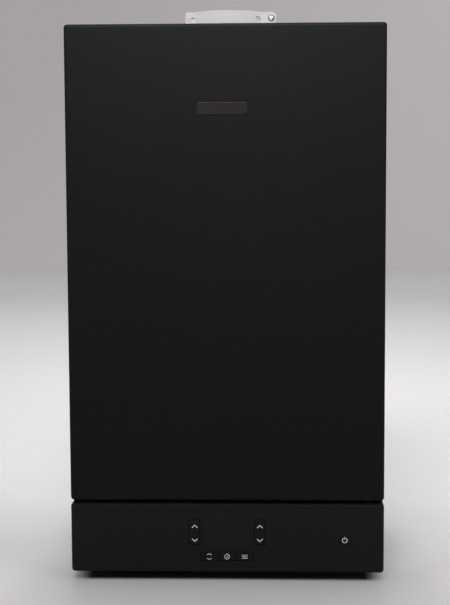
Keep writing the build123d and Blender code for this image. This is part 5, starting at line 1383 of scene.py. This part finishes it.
@dataclass
class WaterSide:
    """Expansion vessel, hydraulic groups, pump, plate exchanger, trap and connections."""

    stub_radii: tuple[float, ...] = (13.2, 10.5, 13.2, 10.5, 13.2)
    stub_pitch: float = 65.0
    row_depth: float = 180.0
    thread_pitch: float = 1.81
    thread_length: float = 26.0
    thread_depth: float = 0.4
    thread_rise: float = 0.45
    stub_wall: float = 2.5
    mouth_depth: float = 9.8
    mouth_chamfer: float = 0.5
    lip: float = 0.3
    vent_cap_height: float = 7.0
    vent_cap_profile: Pairs = ((6.6, 0.0), (7.4, 0.6), (7.4, 6.4), (6.6, 7.0), (2.6, 7.0),
                               (2.6, 5.6))
    knurl_count: int = 24
    knurl_depth: float = 0.035
    riser_radius: float = 9.0
    clip_gap: float = 0.1
    clip_rise: float = 110.0
    clip_width: float = 10.0
    clip_sheet: float = 0.8
    sensor: Pairs = ((4.0, 0.0), (4.0, 4.2), (3.4, 4.8), (1.2, 4.8))
    sensor_seat: float = 0.6
    fitting_nut: UnionNut = UnionNut(30.0, 19.0, wide_bore=13.1, narrow_bore=9.1)
    port_nut: UnionNut = UnionNut(26.0, 19.0, wide_bore=11.1, narrow_bore=9.1)
    port_end: float = 102.3
    hose_radius: float = 9.5
    hose_clip_width: float = 8.0
    hose_clip_sheet: float = 0.9
    drain_clip_drop: float = 11.2
    trap_clip_rise: float = 9.6
    outlet_clip_drop: float = 12.8
    housing: Pad = Pad(9.4, 6.4, corner=1.6, thickness=4.2, edge=1.2)
    housing_screw_across: float = 5.5
    housing_screw: Pairs = ((3.2, 0.0), (3.2, 5.4), (2.6, 6.0))
    housing_screw_shift: Triple = (3.0, -2.2, 0.0)
    fill_x: float = -60.0
    fill_height: float = 226.0
    fill_stem: Pairs = ((7.5, 0.0), (7.5, 1.0), (6.5, 2.0), (4.2, 2.4), (4.2, 9.0))
    fill_cap: Pairs = ((5.0, 7.0), (5.4, 7.4), (5.4, 15.6), (4.4, 17.0), (2.0, 17.2))
    pump_level: float = 140.0
    pump_vent: Screw = Screw(9.0, 2.2, arm_half=0.9, arm_reach=7.0, rings=34, recess=Recess.SLOT)

    def build(self) -> None:
        """Finishes the water side and adds its threads, nuts, clips, caps and fill valve."""
        dress(Finishes.vessel_paint, "expansion_vessel")
        dress(Finishes.copper, "heating_pipes")
        dress(Finishes.group_moulding, "flow_group", "return_group")
        dress(Finishes.box_moulding, "diverter_motor")
        dress(Finishes.brass, "safety_valve")
        dress(Finishes.red_plastic, "safety_valve_knob")
        dress(Finishes.pump_paint, "pump_motor")
        dress(Finishes.dark_moulding, "pump_impeller", "condensate_hoses")
        dress(Finishes.stainless, "plate_heat_exchanger")
        dress(Finishes.grey_moulding, "air_vent", "condensate_trap")
        dress(Finishes.blue_plastic, "filling_knob")
        self.threads()
        self.vent_cap()
        self.sensor_clips()
        self.union_nuts()
        self.hose_clips()
        self.pump_vent_screw()
        self.vessel_fill_valve()

    def threads(self) -> None:
        """Pipe threads on the five stubs below the tray, carried round into their mouths."""
        low = Place.of("flow_group").low[2]
        mould = Mould()
        for place, radius in enumerate(self.stub_radii):
            x = (place - (len(self.stub_radii) - 1) / 2) * self.stub_pitch
            bore, chamfer = radius - self.stub_wall - self.lip, self.mouth_chamfer
            hidden = radius - self.thread_depth
            lining = ((hidden, self.thread_length), (hidden, self.mouth_depth),
                      (bore, self.mouth_depth), (bore, chamfer), (bore + chamfer, 0.0))
            mould.net(thread_sleeve(radius + self.thread_rise, self.thread_depth,
                                    self.thread_pitch, self.thread_length, lining,
                                    spot(x, self.row_depth, low - self.lip), Way.UP), True)
        mould.piece("stub_threads", "casing", Finishes.brass, "brass")

    def vent_cap(self) -> None:
        """Knurled cap on the air vent: its radius ripples round the axis."""
        vent, steps, widest_rings = Place.of("air_vent"), 96, slice(1, 3)
        net = turned(self.vent_cap_profile, np.zeros(3), Way.UP, steps)
        ripple = 1 + self.knurl_depth * np.cos(self.knurl_count * circle(steps))
        net[widest_rings, :, :2] *= ripple[:, None]
        seat = spot(vent.middle[0], vent.middle[1], vent.high[2] - self.vent_cap_height)
        cap = Mould().net(net + seat)
        cap.piece("air_vent_cap", "casing", Finishes.dark_moulding, "moulded_dark")

    def sensor_clips(self) -> None:
        """Spring clip with a sensor button on each riser pipe."""
        pipes = Place.of("heating_pipes")
        near = self.riser_radius + self.clip_gap
        clip = band(near, near + self.clip_sheet, self.clip_width)
        mould = Mould()
        for side, edge in ((-1, pipes.low[0]), (1, pipes.high[0])):
            centre = spot(edge - side * self.riser_radius, self.row_depth,
                          pipes.low[2] + self.clip_rise)
            mould.net(turned(clip, centre, Way.UP, steps=40), True)
            seat = centre - np.array([0.0, (self.riser_radius + self.sensor_seat) * MM, 0.0])
            mould.net(turned(self.sensor, seat, Way.FORWARD, steps=32))
        mould.piece("riser_sensor_clips", "casing", Finishes.zinc_screw, "fastener")

    def union_nuts(self) -> None:
        """Union nuts at both ends of the heating pipes, on the groups and on the exchanger."""
        pipes = Place.of("heating_pipes")
        fitting = Place.of("flow_group").high[2]
        port_level = pipes.high[2] - self.riser_radius
        fitting_half, port_half = self.fitting_nut.length / 2, self.port_nut.length / 2
        mould = Mould()
        for side, edge, out in ((-1, pipes.low[0], Way.LEFTWARD), (1, pipes.high[0], Way.ACROSS)):
            seat = spot(edge - side * self.riser_radius, self.row_depth, fitting - fitting_half)
            mould.net(self.fitting_nut.net(seat, Way.UP), True)
            seat = spot(side * (self.port_end - port_half), self.row_depth, port_level)
            mould.net(self.port_nut.net(seat, out), True)
        mould.piece("heating_union_nuts", "casing", Finishes.brass, "brass")

    def hose_clips(self) -> None:
        """Band clips with a screw housing: on the drain, above the trap and below it."""
        hoses, trap = Place.of("condensate_hoses"), Place.of("condensate_trap")
        radius, near = self.hose_radius, self.hose_radius + self.clip_gap
        x, depth = trap.middle[:2]
        clip = band(near, near + self.hose_clip_sheet, self.hose_clip_width)
        mould = Mould()
        for centre in (spot(hoses.high[0] - radius, hoses.high[1] - radius,
                            hoses.high[2] - self.drain_clip_drop),
                       spot(x, depth, trap.high[2] + self.trap_clip_rise),
                       spot(x, hoses.low[1] + radius, trap.low[2] - self.outlet_clip_drop)):
            mould.net(turned(clip, centre, Way.UP, steps=48), True)
            foot = centre - np.array([0.0, radius * MM, 0.0])
            mould.net(self.housing.net(foot, Way.FORWARD))
            screw = foot + np.array(self.housing_screw_shift) * MM
            mould.net(six_sided(self.housing_screw_across, self.housing_screw, screw, Way.ACROSS,
                                steps=36))
        mould.piece("hose_clips", "casing", Finishes.zinc_screw, "fastener")

    def vessel_fill_valve(self) -> None:
        """Air valve on the expansion vessel's front, under a plastic cap."""
        seat = spot(self.fill_x, Place.of("expansion_vessel").low[1] + 2 * SINK, self.fill_height)
        stem = Mould().net(turned(self.fill_stem, seat, Way.FORWARD, steps=40))
        stem.piece("vessel_valve_stem", "casing", Finishes.brass, "brass")
        cap = Mould().net(turned(self.fill_cap, seat, Way.FORWARD, steps=40))
        cap.piece("vessel_valve_cap", "casing", Finishes.dark_moulding, "moulded_dark")

    def pump_vent_screw(self) -> None:
        """Slotted vent screw in the middle of the pump motor's front."""
        motor = Place.of("pump_motor")
        seat = spot(motor.middle[0], motor.low[1] + SINK, self.pump_level)
        head = Mould().net(self.pump_vent.head(seat, Way.FORWARD))
        head.piece("pump_vent_screw", "casing", Finishes.zinc_screw, "pump_casing")


@dataclass(frozen=True)
class Lamp:
    """Round soft lamp, aimed at the boiler."""

    name: str
    place: Triple
    size: float
    power: float
    aim: Triple = (0.0, -0.29, -0.25)
    spread: float = 180.0

    def build(self) -> None:
        """Adds the lamp to the scene."""
        data = bpy.data.lights.new(self.name, "AREA")
        data.shape = "DISK"
        data.size = self.size
        data.energy = self.power
        data.spread = math.radians(self.spread)
        holder = bpy.data.objects.new(self.name, data)
        holder.location = self.place
        ray = Vector(self.aim) - Vector(self.place)
        holder.rotation_euler = ray.to_track_quat("-Z", "Y").to_euler()
        bpy.context.scene.collection.objects.link(holder)


@dataclass
class Studio:
    """Floor, backdrop, lamps and the camera at the photograph's angle."""

    half_width: float = 9.0
    near_edge: float = -4.0
    floor_level: float = -0.6665
    floor_colour: Colour = (1.0, 0.985, 0.99)
    # Painted light and shade on the floor: its tone at each distance behind the boiler, as an
    # unevenly lit studio floor shows it
    painted_floor_light: Pairs = (
        (-3.0, 1.0), (-0.2, 1.0), (0.055, 0.87), (0.07, 0.88), (0.165, 0.9), (0.5, 0.87),
        (0.9, 0.86), (1.47, 0.88), (2.28, 0.87), (3.56, 0.81), (4.24, 0.88), (5.0, 0.9))
    floor_overlap: float = 0.02
    backdrop_depth: float = 5.0
    backdrop_foot: float = -0.7
    backdrop_top: float = 7.0
    backdrop_colour: Colour = (0.42, 0.399, 0.404)
    air_colour: Colour = (0.62, 0.612, 0.62)
    lamps: tuple[Lamp, ...] = (
        Lamp("key_lamp", (-0.05, -1.1, 0.9), 0.7, 3.3, aim=(0.0, -0.29, 0.33), spread=50.0),
        Lamp("fill_lamp", (1.7, -1.5, 1.6), 1.4, 4.0),
        Lamp("rear_lamp", (-0.2, 2.2, 2.6), 2.2, 30.0))
    focal_share: float = 1450.0 / 605.0
    sensor: float = 36.0
    eye: Triple = (0.06986, -2.1689, -0.10066)
    # Yaw, pitch and roll in degrees
    angles: Triple = (-2.16456, 5.88017, -0.27936)
    nearest_seen: float = 0.05
    farthest_seen: float = 60.0

    def build(self) -> None:
        """Sets the whole stage."""
        self.floor()
        self.backdrop()
        self.world()
        for lamp in self.lamps:
            lamp.build()
        self.camera()
        bpy.context.scene.view_settings.view_transform = "Standard"

    @staticmethod
    def sheet(name: str, corners: list[Triple], finish: Finish) -> None:
        """Adds one flat part of the stage."""
        mesh = bpy.data.meshes.new(name)
        mesh.from_pydata(corners, [], [[0, 1, 2, 3]])
        mesh.materials.append(finish.material())
        thing = bpy.data.objects.new(name, mesh)
        bpy.context.scene.collection.objects.link(thing)

    def floor(self) -> None:
        """Pale floor under the boiler, which ends just behind the backdrop."""
        x, z = self.half_width, self.floor_level
        near, far = self.near_edge, self.backdrop_depth + self.floor_overlap
        self.sheet("studio_floor", [(-x, near, z), (x, near, z), (x, far, z), (-x, far, z)],
                   StudioFloor("studio_floor", self.floor_colour, 0.9, self.painted_floor_light))

    def backdrop(self) -> None:
        """Grey backdrop with painted light across it, well behind the boiler."""
        x, y = self.half_width, self.backdrop_depth
        low, high = self.backdrop_foot, self.backdrop_top
        self.sheet("studio_backdrop", [(-x, y, low), (x, y, low), (x, y, high), (-x, y, high)],
                   StudioSweep("studio_backdrop", self.backdrop_colour))

    def world(self) -> None:
        """Even grey light from all round."""
        world = bpy.data.worlds.new("studio")
        world.use_nodes = True
        ground = world.node_tree.nodes["Background"]
        ground.inputs["Color"].default_value = (*self.air_colour, 1.0)
        ground.inputs["Strength"].default_value = 1.0
        bpy.context.scene.world = world

    def camera(self) -> None:
        """Camera turned and placed as the photograph's was."""
        yaw, pitch, roll = (math.radians(angle) for angle in self.angles)
        ahead = Vector((math.sin(yaw) * math.cos(pitch), math.cos(yaw) * math.cos(pitch),
                        -math.sin(pitch)))
        level = Vector((math.cos(yaw), -math.sin(yaw), 0.0))
        upright = level.cross(ahead)
        right = math.cos(roll) * level + math.sin(roll) * upright
        up = math.cos(roll) * upright - math.sin(roll) * level
        data = bpy.data.cameras.new("camera")
        data.sensor_width = self.sensor
        data.lens = self.sensor * self.focal_share
        data.clip_start = self.nearest_seen
        data.clip_end = self.farthest_seen
        holder = bpy.data.objects.new("camera", data)
        turn = Matrix((right, up, -ahead)).transposed().to_4x4()
        holder.matrix_world = Matrix.Translation(Vector(self.eye)) @ turn
        bpy.context.scene.collection.objects.link(holder)
        bpy.context.scene.camera = holder


def main() -> None:
    """Builds the boiler's sub-assemblies and the studio in order."""
    for assembly in (Casing(), FrontCover(), ControlPanel(), FlueCollar(), BurnerSide(),
                     WaterSide(), Studio()):
        assembly.build()
        LOG.info("%s done", type(assembly).__name__)


if __name__ == "__main__":
    main()
